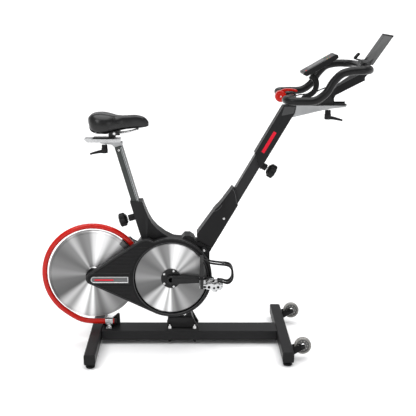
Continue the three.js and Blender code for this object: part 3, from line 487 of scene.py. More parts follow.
def bolt(origin, axis, radius, height, look, sides=6, socket=True):
    """Cap screw or hex bolt, with a washer face and a socket drawn as a disc of painted shade."""
    shells = [(revolve(origin, axis, [(radius * 1.25, 0), (radius * 1.25, height * 0.15)], 24), look, 0.2),
        (revolve(origin, axis, [(radius, height * 0.15), (radius, height)], sides), look, 0.4)]
    if socket:
        shells.append((revolve(origin, axis,
            [(radius * 0.45, height * 0.9), (radius * 0.45, height + 0.15)], 6), RECESS_SHADE))
    return shells


# ---- making pieces ----
def placed(name, data):
    thing = bpy.data.objects.new(name, data)
    bpy.context.scene.collection.objects.link(thing)
    return thing


def settled(thing):
    """The mesh of an object with its modifiers applied."""
    return bpy.data.meshes.new_from_object(thing.evaluated_get(bpy.context.evaluated_depsgraph_get()))


def rounded(mesh, bevel=0):
    """A mesh with its sharp edges rounded by a bevel of the given width."""
    if not bevel:
        return mesh
    holder = placed("holder", mesh)
    rounding = holder.modifiers.new("rounding", "BEVEL")
    rounding.width = bevel * MM
    rounding.segments = 3
    rounding.limit_method = "ANGLE"
    rounding.angle_limit = radians(32)
    rounding.use_clamp_overlap = True
    mesh = settled(holder)
    bpy.data.objects.remove(holder)
    return mesh


def cleaned(mesh, weld=0, flat=0):
    """Welds points closer than weld, then joins flat faces or else turns all faces outwards."""
    work = bmesh.new()
    work.from_mesh(mesh)
    if weld:
        bmesh.ops.remove_doubles(work, verts=work.verts, dist=weld)
    if flat:
        bmesh.ops.dissolve_limit(work, angle_limit=flat, verts=work.verts, edges=work.edges)
    else:
        bmesh.ops.recalc_face_normals(work, faces=work.faces)
    work.to_mesh(mesh)
    work.free()


def add_shells(whole, name, shells, looks, centre, weld):
    """Adds shells of (shape, material, optional bevel) to a bmesh, and their materials to looks."""
    for (points, faces), look, *bevel in shells:
        if look not in looks:
            looks.append(look)
        mesh = bpy.data.meshes.new(name)
        mesh.from_pydata([tuple((Vector(p) - centre) * MM) for p in points], [], faces)
        cleaned(mesh, weld)
        mesh = rounded(mesh, *bevel)
        for polygon in mesh.polygons:
            polygon.material_index = looks.index(look)
        whole.from_mesh(mesh)
    mesh = bpy.data.meshes.new(name)
    whole.to_mesh(mesh)
    whole.free()
    return mesh


def piece(name, body, shells, replaces=(), origin=None, sharp=38):
    """One object made of shells, riding on a body."""
    centre, looks = origin or at(0, 0, 0), []
    mesh = add_shells(bmesh.new(), name, shells, looks, centre, 1e-6)
    finished(name, mesh, body, looks, replaces, centre, sharp)


def finished(name, mesh, body, looks, replaces, centre, sharp=38):
    for look in looks:
        mesh.materials.append(look)
    mesh.shade_smooth()
    mesh.set_sharp_from_angle(angle=radians(sharp))
    thing = placed(name, mesh)
    thing.location = centre * MM
    thing.modifiers.new("even_normals", "WEIGHTED_NORMAL").keep_sharp = True
    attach(thing, body)
    if replaces:
        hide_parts(*replaces)


def from_cad(node, look, bevel=2.0, extra=()):
    """The CAD solid's own shape with rounded edges, as a new piece, plus extra shells of detail."""
    mesh = NODES[node].data.copy()
    mesh.materials.clear()
    cleaned(mesh, 2e-6, radians(1))
    mesh = rounded(mesh, bevel)
    for polygon in mesh.polygons:
        polygon.material_index = 0
    whole = bmesh.new()
    whole.from_mesh(mesh)
    looks, centre = [look], at(0, 0, 0)
    mesh = add_shells(whole, node, extra, looks, centre, 0)
    finished(node + "_body", mesh, NODES[node]["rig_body"], looks, [node], centre)


def repaint(node, look):
    NODES[node].data.materials.clear()
    NODES[node].data.materials.append(look)


# ---- base ----
def base():
    from_cad("main_beam", BLACK_COAT, 4)
    from_cad("front_stabiliser", BLACK_COAT, 1.2)
    from_cad("rear_stabiliser", BLACK_COAT, 1.2)
    for end in ("front", "rear"):
        for side in ("right", "left"):
            from_cad(f"{end}_end_cap_{side}", PLASTIC, 1.5)
            foot(end, side)
    for side in ("right", "left"):
        castor(side)
    low = box_of("frame_foot")[0]
    details = []
    for x in (-177, -62):
        for y in (-50, 50):
            details += bolt(at(x, y, low.z + 12), Z, 8, 11, POLISHED)
            details.append((revolve(at(x, y, low.z + 22), Z, [(4.5, 0), (4.5, 7), (3.5, 8.5)], 20),
                POLISHED))
    from_cad("frame_foot", BLACK_COAT, 2, extra=details)
    from_cad("ring_bracket", BLACK_COAT, 2)


def foot(end, side):
    """Levelling foot: ribbed rubber pad on a short neck."""
    node = f"{end}_levelling_foot_{side}"
    low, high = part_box(node)
    centre = (low + high) / 2 / MM
    centre.z = 0
    profile = [(16, 0), (18.4, 0.8), (20, 3), (20, 9), (19, 11), (14, 12), (12.5, 13), (12, 19), (5, 19.5),
        (5, 45)]
    grooves = [(ring_of(centre, Z, [(19.4, z), (20.15, z + 0.5), (20.15, z + 1.2), (19.4, z + 1.7)], 48),
        RUBBER) for z in (3.4, 5.6, 7.8)]
    piece(node + "_body", f"{end}_foot_{side}",
        [(revolve(centre, Z, profile, 40), RUBBER), *grooves], [node])


def castor(side):
    """Transport wheel: clear grey tyre round a spoked hub with a steel axle nut."""
    centre = CASTORS[side]
    tyre = [(30, -9.5), (35, -10.5), (37.4, -8), (38, -3), (38, 3), (37.4, 8), (35, 10.5), (30, 9.5),
        (29, 6), (29, -6)]
    shells = [(ring_of(centre, Y, tyre, 64), URETHANE),
        (ring_of(centre, Y, [(6, -5), (29.5, -4), (29.5, 4), (6, 5)], 48), DARK_STEEL),
        (ring_of(centre, Y, [(5.7, -12), (10, -12), (12, -10), (12, 10), (10, 12), (5.7, 12)], 40),
        POLISHED)]
    for i in range(10):
        out = around(2 * pi * i / 10)
        for face in (-1, 1):
            spot = centre + out * 21 + Y * face * 3.6
            shells.append((revolve(spot, Y * face, [(3.6, 0), (3.6, 1.6), (2.6, 2.6)], 16), URETHANE))
    for i in range(14):
        out = around(2 * pi * i / 14)
        for face in (-1, 1):
            shells.append((revolve(centre + out * 33 + Y * face * 9.3, Y * face, [(2.2, 0), (1.6, 0.9)],
                12), DARK_STEEL))
    piece(f"castor_wheel_{side}", f"castor_{side}", shells, [f"transport_wheel_{side}"],
        centre)


# ---- frame ----
SEAT_FORWARD = at(SEAT_UP.z, 0, -SEAT_UP.x)
BAR_FORWARD = at(BAR_UP.z, 0, -BAR_UP.x)
SEAT_MOUTH = at(-331.5, 0, 680)                  # seat tube axis at its mouth
BAR_MARK = at(233, 0, 888)                       # front post axis beside its pull pin


def seat_point(along, forward):
    point = SEAT_MOUTH + SEAT_UP * along + SEAT_FORWARD * forward
    return point.x, point.z


def post_point(along, forward):
    point = BAR_MARK + BAR_UP * along + BAR_FORWARD * forward
    return point.x, point.z


def strip(point, bottom, top, back, front):
    return [point(bottom, back), point(bottom, front), point(top, front), point(top, back)]


def frame_pieces():
    from_cad("main_frame", BLACK_COAT, 4)
    shell_details = bolt(at(69, -36, 599), -Y, 5.5, 3, POLISHED)
    # Crease and lip lines on the leg shell are painted highlight, in a lighter material.
    for y in (-40.2, 40.2):
        crease = [(22, y, 633), (36, y, 638), (50, y, 648), (60, y, 664)]
        shell_details.append((sweep(spline(crease, 6), round_section(8), 1.3), HIGHLIGHT_LINE))
        lip = [(106, y, 736), (113, y, 728), (118, y, 712), (122, y, 690), (124.5, y, 668)]
        shell_details.append((sweep(spline(lip, 6), round_section(8), 1.5), HIGHLIGHT_LINE))
    from_cad("front_leg_shell", BLACK_COAT, 5, extra=shell_details)
    from_cad("front_post", POST_DARK, 4)
    ring_guard()
    ring_mount()
    for node, look in (("bottom_bracket", DARK_STEEL), ("drive_belt", RUBBER),
        ("belt_guard_back", PLASTIC)):
        repaint(node, look)


TAIL_Z, TAIL_PLUG, TAIL_END = 95.5, -438, -427           # straight end of the ring and its plug


def ring_guard():
    """Red tube round the flywheel: a long arc that runs out straight along the beam."""
    upper = arc(WHEEL.x, WHEEL.z, 226, 34, 228, 60)
    low, plug, end = TAIL_Z, TAIL_PLUG, TAIL_END
    tail = [(-642, 133), (-599, 108), (-570, 99.5), (-543, 96.4), (-512, low), (-470, low), (plug, low)]
    line = spline(level(upper + tail), 3)
    section = round_section(32)
    piece("ring_guard", "frame",
        [(sweep(line, section, 12.4), RED_GLOSS),
        (sweep([(plug - 4, 0, low), (plug - 2.8, 0, low)], section, 12.9), RED_GLOSS),
        (sweep([(plug, 0, low), (end - 1.5, 0, low), (end, 0, low)], section, [12.2, 12.2, 10.5]),
        PLASTIC)], ["guard_ring"])


def ring_mount():
    """Silver band clamp with a flanged hex bolt down to the beam."""
    start = at(-461, 0, TAIL_Z)
    band = [(14.1, -17.5), (16.4, -17.5), (17.2, -16), (17.2, 16), (16.4, 17.5), (14.1, 17.5)]
    shells = [(ring_of(start, X, band, 48), SILVER), (block(-474, -448, -34, -9, 67.9, 75), SILVER, 1.5),
        (prism([(-470, 74), (-452, 74), (-455, 92), (-467, 92)], -20, -12), SILVER, 1),
        (revolve(at(-461, -24, 75), Z, [(14, 0), (14, 2.2), (12, 3.4)], 36), POLISHED),
        (revolve(at(-461, -24, 78), Z, [(10, 0), (10, 8.5), (8.5, 10)], 6), POLISHED, 0.5),
        (revolve(at(-461, -24, 87), Z, [(5, 0), (5, 1.5)], 20), POLISHED, 0.3)]
    piece("ring_clamp_band", "frame", shells, ["ring_clamp"])


# ---- drive train ----
def discs():
    face = -13
    profile = [(12.3, -20), (20, -20), (22, -19), (31, -17), (34, -15.5), (36, face), (194.5, face),
        (195.5, face + 1.4), (197.5, face + 1.4), (198.5, face), (204, face), (206, face + 2), (206, 11),
        (204, 13), (157, 13), (153, 8), (151, -4), (52, -4), (48, 0), (45, 14), (43, 16), (12.3, 16)]
    axle = revolve(WHEEL, Y, [(12, -66), (12, 20), (10.5, 22)], 40)
    nut = revolve(WHEEL + Y * 16, Y, [(19, 0), (19, 5)], 6)
    pulley = ring_of(WHEEL, Y, [(12.3, -60), (18, -60), (18, -48), (15, -45), (12.3, -45)], 48)
    piece("flywheel_disc", "flywheel_body",
        [(ring_of(WHEEL, Y, profile, 160), DISC), (axle, DARK_STEEL), (nut, POLISHED, 0.8),
        (pulley, MACHINED)], ["flywheel", "flywheel_axle", "flywheel_pulley"], WHEEL)
    front = -67
    plate = [(10.3, front), (158, front), (161, front + 0.4), (163.4, front + 1.2), (164, front + 2.2),
        (164, -63.5), (10.3, -63.5)]
    piece("pulley_disc_face", "crankset", [(ring_of(CRANK, Y, plate, 160), DISC)],
        ["pulley_disc"], CRANK)
    repaint("drive_pulley", MACHINED)
    repaint("belt_idler", MACHINED)
    repaint("crank_axle", DARK_STEEL)
    from_cad("magnet_carrier", DARK_STEEL, 0.8)


def cranks():
    hub = [(revolve(CRANK + Y * -67.3, -Y, [(45, 0), (45, 5.2), (43.5, 6.7), (30, 7.2), (26, 9)], 64),
        BLACK_ALLOY)]
    for i in range(5):
        angle = radians(72 * i)
        spot = CRANK + around(angle) * 38
        hub.append((revolve(spot + Y * -73, -Y, [(5.4, 0), (5.4, 0.7), (4.4, 1.2), (4.4, 3.4), (3.4, 3.9)],
            24), POLISHED))
        # Socket of painted shade in each bolt head.
        hub.append((revolve(spot + Y * -76.7, -Y, [(1.8, 0), (1.8, 0.35)], 6), RECESS_SHADE))
    piece("crank_hub_cover", "crankset", hub, ["crank_hub"], CRANK)
    for label, side in (("right", -1), ("left", 1)):
        crank_arm(label, side)
        pedal(label)
        toe_cage(label)


def crank_arm(label, side):
    """Forged arm: a full round boss at the axle, a ridge along its face, and a round end at the pedal."""
    end = at(PEDALS[label].x, 0, PEDALS[label].z)
    forward = 1 if end.x > CRANK.x else -1
    out = Y * side
    inner = 74.6 if side < 0 else 50
    outline = [(-19, 0), (-16, 11), (-6, 19), (12, 20), (40, 18.5), (80, 16.8), (130, 14), (158, 13.5),
        (171, 12.5), (181, 6), (183, 0)]
    outline = outline + [(x, -z) for x, z in reversed(outline[1:-1])]
    arm = [(CRANK.x + forward * x, CRANK.z + z) for x, z in outline]
    ridge = [(CRANK.x + forward * x, CRANK.z + z) for x,
        z in ((4, 9), (40, 8.5), (150, 4.5), (150, -4.5), (40, -8.5), (4, -9))]
    shells = [(prism(arm, *sorted((side * 82, side * 95))), BLACK_ALLOY, 5),
        (prism(fillet(ridge, 6, 3), *sorted((side * 92, side * 97))), BLACK_ALLOY, 2.2),
        (revolve(CRANK + out * inner, out, [(19, 0), (19, 94 - inner), (17, 96.5 - inner), (11, 97 - inner),
        (10, 95 - inner)], 48), BLACK_ALLOY),
        (revolve(end + out * 81, out, [(13, 0), (13, 15), (11.5, 17)], 40), BLACK_ALLOY),
        (revolve(end + out * 98, out, [(9.5, 0), (9.5, 9), (7, 9.5), (7, 90)], 24), POLISHED),
        (revolve(end + out * 98.6, out, [(10.5, 0), (10.5, 5)], 6), POLISHED, 0.5)]
    piece(f"crank_arm_{label}", "crankset", shells, [f"crank_{label}"], CRANK)


def pedal(label):
    """Clip pedal: alloy side plates, toothed cross bars, a barrel, a binding above and a spring below."""
    node = f"pedal_{label}"
    low, high = box_of(node)
    c = PEDALS[label]
    y0, y1 = low.y, high.y
    shells = []
    waist = [(-42, -6), (-28, -10), (-18, -6), (-8, -11), (8, -10), (16, -20), (32, -22.5), (40, -13),
        (52, -13), (64, 2), (61, 11), (48, 10), (38, 16), (24, 11), (10, 17), (-6, 14), (-14, 9), (-26, 13),
        (-42, 8)]
    for y in (y0, y1 - 6):
        shells.append((prism(fillet(beside(c, waist), 5, 3), y, y + 6), SILVER, 0.9))
    for x, z, tall in ((-38, 0, 12), (58, 5, 12), (30, -17, 8)):
        shells.append((block(c.x + x - 4, c.x + x + 4, y0 + 2, y1 - 2, c.z + z - tall / 2,
            c.z + z + tall / 2), SILVER, 1.2))
    for x, z in ((-38, 5), (54, 9)):
        for i in range(7):
            y = y0 + 9 + i * (y1 - y0 - 18) / 6
            tooth = beside(c, [(x - 3.4, z), (x + 3.4, z), (x + 1, z + 5), (x - 1, z + 5)])
            shells.append((prism(tooth, y - 2.4, y + 2.4), SILVER, 0.5))
    barrel = [(7.6, 0), (11, 0), (12.6, 2), (12.6, 20), (10.6, 26), (10.6, y1 - y0 - 26),
        (12.6, y1 - y0 - 20), (12.6, y1 - y0 - 3), (11, y1 - y0 - 1), (7.6, y1 - y0 - 1)]
    shells.append((ring_of(at(c.x, y0 + 0.5, c.z), Y, barrel, 40), SILVER))
    mid = (y0 + y1) / 2
    jaw = [(8, 9), (34, 13), (40, 19.5), (26, 20), (18, 16), (6, 17), (-6, 20), (-16, 14), (-12, 8)]
    shells.append((prism(fillet(beside(c, jaw), 2, 2), mid - 19, mid + 19), POLISHED, 0.8))
    under = [(6, -10), (30, -12), (44, -8), (46, -14), (30, -22.5), (12, -20)]
    shells.append((prism(fillet(beside(c, under), 2, 2), mid - 19, mid + 19), POLISHED, 0.8))
    for x, z in ((44, 2), (20, -15)):
        coil = [at(c.x + x + 4.4 * cos(t * 0.9), mid - 15 + t * 0.57, c.z + z + 4.4 * sin(t * 0.9))
            for t in range(54)]
        shells.append((sweep(coil, round_section(6), 1.0, X), POLISHED))
    # Painted shade: near-black discs and a thin patch on the side plates where openings would be dark; the
    # small discs are steel.
    for y, out in ((y0, -Y), (y1, Y)):
        for x, z, radius in ((-33, 1, 3.4), (0, 0, 6.5), (22, -4, 5), (40, 0, 6), (56, 3, 2.6),
            (32, -16, 2.6)):
            look = RECESS_SHADE if radius > 4 else DARK_STEEL
            shells.append((revolve(at(c.x + x, y, c.z + z) - out * 0.5, out, [(radius, 0), (radius, 0.7)],
                24), look))
        shells.append((prism(fillet(beside(c, [(-24, -4), (-12, -3), (-12, 5), (-24, 6)]), 2), y - 0.2,
            y + 0.2), RECESS_SHADE))
    piece(f"pedal_body_{label}", f"pedal_{label}_body", shells, [node], c)


def toe_cage(label):
    """Moulded cage: two bent side bars, cross bars and an inner strut, and a webbing strap over the shoe."""
    c = PEDALS[label]
    low, high = box_of(f"toe_cage_{label}")
    y0, y1 = low.y + 19, high.y - 19
    profile = [(38, 21.5), (58, 19), (72, 14.5), (84, 13.5), (96, 22), (103, 36), (104, 56), (100, 78),
        (90, 91), (76, 96), (56, 98), (30, 101), (6, 105), (-12, 113), (-28, 124.5)]
    line = spline(level(beside(c, profile)), 6)
    shells = []
    weight = [1.0 + 0.3 * max(0.0, min(1.0, (p.x - c.x - 60) / 30)) for p in line]
    for y in (y0 + 7.8, y1 - 7.8):
        path = [at(p.x, y, p.z) for p in line]
        shells.append((sweep(path, box_section(11.6, 7.4, 2.4), weight), PLASTIC))
    for dx, dz, wide, thick in ((54, 19.5, 13, 5.4), (104.5, 60, 5, 10), (62, 98.6, 12, 5),
        (-12, 112.5, 12, 5)):
        shells.append((block(c.x + dx - wide / 2, c.x + dx + wide / 2, y0 + 6, y1 - 6, c.z + dz - thick / 2,
            c.z + dz + thick / 2), PLASTIC, 1.2))
    inner = y0 + 6 if abs(y0) < abs(y1) else y1 - 6
    strut = spline(level(beside(c, [(-12, 112), (1, 92), (7, 60), (12, 30), (22, 22)]), inner), 6)
    shells.append((sweep(strut, box_section(10, 6, 2)), PLASTIC))
    for y in (y0 + 12, y1 - 12):
        shells += bolt(at(c.x + 52, y, c.z + 20.6), Z, 3.4, 2.4, POLISHED, sides=20)
    strap(c, low.y, high.y, shells)
    piece(f"toe_cage_body_{label}", f"pedal_{label}_body", shells, [f"toe_cage_{label}"],
        c)


def strap(c, y0, y1, shells):
    """Closed webbing loop round the pedal and over the shoe, with a cam buckle on the outer side."""
    bottom, top = c.z - 9, c.z + 128
    loop = fillet([(y0 + 1.5, bottom), (y1 - 1.5, bottom), (y1 - 1.5, top - 12), (y1 - 18, top),
        (y0 + 18, top), (y0 + 1.5, top - 12)], 12, 6)
    path = [at(c.x - 32, y, z) for y, z in loop]
    shells.append((sweep(path, box_section(15, 2.6, 1, 2), reference=X, closed=True), STRAP))
    outer = y0 if abs(y0) > abs(y1) else y1
    y = outer - copysign(3.2, outer)
    shells.append((block(c.x - 41.5, c.x - 22.5, y - 3, y + 3, c.z + 34, c.z + 52), PLASTIC, 1.5))
    shells.append((revolve(at(c.x - 42, y, c.z + 46), X, [(2, 0), (2, 20)], 12), POLISHED))


# ---- belt guard ----
HOLE = 168.5                                           # opening round the brushed disc
GUARD_CENTRE, GUARD_RADIUS, NOSE = (-170, 332), 186, 26
BADGE_BACK, BADGE_FRONT, BADGE_Z, BADGE_HALF = -533, -365, 321.5, 13.5


def guard_outline():
    """Teardrop, counter-clockwise from the nose's underside."""
    nose = (WHEEL.x - 3, WHEEL.z - 3)
    below, above = (248, 124.5)
    lower = arc(*GUARD_CENTRE, GUARD_RADIUS, -112, 112, 96)
    crest = [(-248, 502), (-266, 510.5), (-283, 512.5), (-300, 509.5), (-318, 500)]
    back = arc(*nose, NOSE, above, below, 28)
    outline = []
    for run in (lower, crest, back):
        outline += run
    return outline


def subdivided(outline, step):
    dense = []
    for i, point in enumerate(outline):
        here, after = Vector(point), Vector(outline[(i + 1) % len(outline)])
        parts = max(1, round((after - here).length / step))
        dense += [tuple(here.lerp(after, k / parts)) for k in range(parts)]
    return dense


def guard():
    outline = subdivided(guard_outline(), 7)
    front, back = GUARD_FRONT + 1.6, GUARD_BACK

    def border(wall, y):
        return [at(x, y, z) for x, z in inset(outline, wall)]

    def circle(radius, y):
        loop = []
        for x, z in outline:
            out = Vector((x - CRANK.x, z - CRANK.z)).normalized() * radius
            loop.append(at(CRANK.x + out.x, y, CRANK.z + out.y))
        return loop

    rise = front - 1.5
    loops = [circle(HOLE, back + 8 - 25), circle(HOLE, rise + 1.2), circle(HOLE + 0.8, rise),
        circle(HOLE + 3.4, rise), circle(HOLE + 4.4, front + 0.2), border(6.0, front + 0.2),
        border(5.0, rise), border(2.2, rise), border(0.7, rise + 0.8), border(0, rise + 2.4),
        border(0, back), border(3, back), border(3, front + 2.6), circle(HOLE + 3, front + 2.6),
        circle(HOLE + 3, back + 8 - 25)]
    shells = [(skin(loops, closed=True), PLASTIC)]
    # Lines of painted highlight round the guard's border and round its disc opening.
    for wall in (1.2, 6.0):
        line = [(x, rise + 0.3 if wall < 2 else front + 0.1, z) for x, z in inset(outline, wall)]
        shells.append((sweep(line, round_section(6), 0.9, Y, closed=True), HIGHLIGHT_LINE))
    shells.append((ring_of(at(CRANK.x, rise, CRANK.z), Y,
        [(HOLE + 0.4, 0.4), (HOLE + 1.2, -0.3), (HOLE + 2.4, -0.3), (HOLE + 3.2, 0.4)], 128), HIGHLIGHT_LINE))
    for x, z in EARS:
        shells.append((revolve(at(x, back, z), -Y,
            [(13, 0), (13, 13.5), (11.5, 15.5), (7, 15.8), (6.2, 14)], 40), PLASTIC))
        shells += bolt(at(x, back - 14, z), -Y, 4.6, 3.2, POLISHED, sides=24)
    shells += guard_ribs(front)
    shells += badge(front)
    piece("belt_guard_cover", "frame", shells, ["belt_guard"], sharp=30)


def guard_ribs(front):
    """Fine level ribs on the flat of the guard, between its border and the disc."""
    edge = inset(guard_outline(), 13)
    ribs = []
    gap = 6.4
    for i in range(-19, 24):
        z = CRANK.z + i * gap
        crossings = []
        for a, b in zip(edge, edge[1:] + edge[:1]):
            if (a[1] - z) * (b[1] - z) < 0:
                crossings.append(a[0] + (b[0] - a[0]) * (z - a[1]) / (b[1] - a[1]))
        reach = (HOLE + 13) ** 2 - (z - CRANK.z) ** 2
        if len(crossings) < 2 or reach < 0:
            continue
        start, end = min(crossings), CRANK.x - sqrt(reach)
        if abs(z - BADGE_Z - 4) < 32:
            start = max(start, BADGE_FRONT + 12)
        if end - start > 9:
            bar = [(0, 1.4), (0, -1.4), (-1.0, -0.6), (-1.0, 0.6)]
            loops = [[at(x, front + y, z + dz) for y, dz in bar] for x in (start, end)]
            ribs.append((skin(loops), PLASTIC))
    return ribs


def badge(front):
    """Blank badge: bright rounded rim, dark brushed field and one plain red bar, in a moulded surround."""
    x0, x1, z, half = BADGE_BACK, BADGE_FRONT, BADGE_Z, BADGE_HALF

    def plate(grow, lift=0):
        left = arc(x0 + half, z + lift / 2, half + grow + lift / 2, 90, 270, 20)
        right = [(x1 + grow, z - half - grow), (x1 + grow, z + half + grow + lift)]
        return left + right

    surround = [[at(x, y, zz) for x, zz in plate(grow, 10)] for grow,
        y in ((8.5, front + 0.4), (6.5, front - 1.3), (4.5, front - 1.3), (3, front + 0.4))]
    rim = [[at(x, y, zz) for x, zz in plate(grow)] for grow,
        y in ((1.5, front + 0.4), (0.8, front - 1.4), (-1.6, front - 1.4), (-2.6, front - 0.6))]
    bar = fillet([(x0 + 16, z - 4), (x1 - 66, z - 4), (x1 - 66, z + 3), (x0 + 16, z + 3)], 1.5)
    return [(skin(surround, caps=False), PLASTIC), (skin(rim, caps=False), SILVER),
        (prism(plate(-2.2), front - 0.7, front + 0.5), BADGE_FIELD),
        (prism(bar, front - 1.1, front), RED_STRIPE)]


# ---- seat ----
def seat():
    front = [(prism(strip(seat_point, -120, 250, 15.6, 16.25), -12, 12), POST_COAT)]
    # Two thin bright strips on each side near the post's front edge are painted highlight.
    front += [(prism(strip(seat_point, -120, 250, back, ahead), *sorted((y, y * 1.012))), POST_HIGHLIGHT)
        for y in (-31.4, 31.4) for back, ahead in ((8.2, 9.4), (13.2, 15.4))]
    x, z = seat_point(240, -1)
    screw = bolt(at(x, -31.2, z), -Y, 4.6, 2.0, POLISHED, sides=24)
    from_cad("seat_post", POST_COAT, 3, extra=front + screw)
    from_cad("seat_head", CAST_GREY, 2.5)
    low, high = box_of("seat_slide")
    # Two grooves along the slide's top, drawn as thin strips of painted shade.
    grooves = [(block(low.x + 34, high.x - 14, y - 2.5, y + 2.5, high.z - 0.4, high.z + 0.25), RECESS_SHADE)
        for y in (-14, 14)]
    from_cad("seat_slide", SILVER, 2, extra=grooves)
    pull_pin("seat_pin_knob", "seat_knob", "seat_pin", SEAT_PIN, 18)
    crank_handle("seat_handle", "seat_lever", "seat_slide_handle", SEAT_HANDLE, -1, 930, 38)
    from_cad("saddle_clamp", BLACK_ALLOY, 1.5, extra=clamp_detail())
    saddle_underside()
    saddle_cover()


def clamp_detail():
    """Bolt heads and a serrated washer on the saddle clamp."""
    middle = -418                                      # of the clamp along the bike
    shells = []
    for side in (-1, 1):
        face, out = at(middle, side * 30, 985), Y * side
        shells.append((revolve(face, out, [(9, 0), (9, 2.4), (7.5, 3)], 32), DARK_STEEL))
        shells.append((revolve(face + out * 3, out, [(6.2, 0), (6.2, 5)], 6), POLISHED, 0.6))
    return shells


def saddle_underside():
    rail = [(-510, 38, 1001), (-492, 34, 990), (-466, 22, 984), (-440, 20, 984), (-394, 20, 984),
        (-350, 16, 990), (-318, 11, 1000)]
    shells = [(sweep(spline([(x, side * y, z) for x, y, z in rail], 8), round_section(14), 3.6, Z),
        POLISHED) for side in (-1, 1)]
    shells.append((block(-323, -312, -14, 14, 998, 1006), PLASTIC, 1.5))
    shells += [(block(-516, -503, side * 38 - 8, side * 38 + 8, 996, 1006), PLASTIC, 2) for side in (-1, 1)]
    piece("saddle_wires", "saddle", shells, ["saddle_rails"])


# Saddle stations from tail to nose: place along the bike, half width, underside, skirt and crown heights.
SADDLE = [(-533, 34, 1022, 1010, 1050), (-526, 56, 1010, 1000, 1062), (-512, 72, 1006, 993, 1069),
    (-492, 82, 1005, 989, 1071), (-468, 85, 1005, 988, 1069), (-444, 80, 1005, 990, 1064),
    (-420, 66, 1005, 994, 1058), (-396, 48, 1006, 999, 1054), (-370, 34, 1007, 1003, 1055),
    (-340, 27, 1009, 1006, 1058), (-312, 24, 1010, 1009, 1060.5), (-290, 22, 1012, 1011, 1058),
    (-274, 18, 1014, 1013, 1048), (-264, 11, 1017, 1016, 1034)]


def saddle_cover():
    """Foam saddle under one stretched cover: a lofted form, swelled by a short cloth run."""
    # Shares of the half width, and of the height from skirt to crown (None is the underside).
    half = [(0.0, None), (0.62, None), (0.86, 0.0), (0.985, 0.22), (1.0, 0.48), (0.93, 0.76), (0.78, 0.93),
        (0.56, 1.0), (0.28, 1.0), (0.0, 0.975)]
    loops = []
    for x, wide, under, skirt, crown in SADDLE:
        side = [(share * wide, under if rise is None else skirt + (crown - skirt) * rise) for share,
            rise in half]
        loops.append([at(x, y, z) for y, z in side] + [at(x, -y, z) for y, z in reversed(side[1:-1])])
    shape = skin(loops)
    mesh = bpy.data.meshes.new("saddle_cover")
    mesh.from_pydata([tuple(Vector(p) * MM) for p in shape[0]], [], shape[1])
    cover = placed("saddle_cover", mesh)
    cover.modifiers.new("smooth_form", "SUBSURF").levels = 3
    settle(cover)
    stretch_cover(cover)
    cover.modifiers.new("fine_form", "SUBSURF").levels = 1
    settle(cover)
    cover.data.materials.append(VINYL)
    cover.data.shade_smooth()
    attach(cover, "saddle")
    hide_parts("saddle_cushion")
    edge, shell = [], []
    for x, wide, under, skirt, _ in SADDLE:
        x = -398 + (x + 398) * 0.955                   # drawn in from both ends, inside the cover
        edge.append((x, wide * 0.8, skirt + 1))
        shell.append([at(x, y * wide, z) for y,
            z in ((-0.84, skirt + 3), (-0.6, under - 2.5), (0.6, under - 2.5), (0.84, skirt + 3),
            (0.6, under + 1), (-0.6, under + 1))])
    hem = edge + [(x, -y, z) for x, y, z in reversed(edge)]
    piece("saddle_shell", "saddle",
        [(sweep(spline(hem, 5, closed=True), round_section(10), 1.5, Z, closed=True), PLASTIC),
        (skin(shell), PLASTIC)], ["saddle_base"])


def settle(thing):
    """Applies the object's modifiers to its mesh."""
    bpy.context.view_layer.update()
    mesh = settled(thing)
    thing.modifiers.clear()
    thing.data = mesh


def stretch_cover(cover):
    """Remeshes the pad, swells it as cloth with a little pressure, and limits how far it may go."""
    voxel, cap, plump, last = 0.0045, 0.005, 0.0006, 20
    remesh = cover.modifiers.new("even_mesh", "REMESH")
    remesh.mode = "VOXEL"
    remesh.voxel_size = voxel
    settle(cover)
    rest = [(v.co.copy(), v.normal.copy()) for v in cover.data.vertices]
    cloth = cover.modifiers.new("swell", "CLOTH")
    cloth.settings.use_pressure = True
    cloth.settings.uniform_pressure_force = 4
    cloth.settings.effector_weights.gravity = 0
    cloth.point_cache.frame_start, cloth.point_cache.frame_end = 1, last
    scene = bpy.context.scene
    for step in range(1, last + 1):
        scene.frame_set(step)
    bpy.context.view_layer.update()
    swelled = cover.evaluated_get(bpy.context.evaluated_depsgraph_get()).data
    moved = [v.co.copy() for v in swelled.vertices]
    cover.modifiers.clear()
    scene.frame_set(1)
    for vertex, (start, normal), end in zip(cover.data.vertices, rest, moved):
        shift = end - start
        if shift.length > cap:
            shift = shift.normalized() * cap
        vertex.co = start + shift + normal * plump
    smooth = cover.modifiers.new("relax", "SMOOTH")
    smooth.iterations = 6
    smooth.factor = 0.5
    settle(cover)


# ---- knobs and handles ----
def pull_pin(name, body, node, axis, tip):
    """Sprung pull pin: steel plunger and a fluted knob. Distances are from the post's axis."""
    start = SEAT_MOUTH + SEAT_UP * -76 if body == "seat_knob" else BAR_MARK + BAR_UP * -42
    knob = [(12, 0), (18, 0.6), (21, 3), (23, 6), (28, 8.5), (31.6, 12), (32, 16), (32, 30), (30.4, 34),
        (25, 37), (14, 38), (6, 38)]
    shells = [(revolve(start + axis * tip, axis, [(4.2, 0), (5.2, 1.2), (5.2, 40)], 28), POLISHED),
        (revolve(start + axis * 60, axis, knob, 98, flutes=7, depth=0.17), PLASTIC),
        # A disc of painted shade at the knob's end.
        (revolve(start + axis * 97.6, axis, [(9, 0), (9, 0.35)], 32), RECESS_SHADE)]
    piece(name, body, shells, [node])


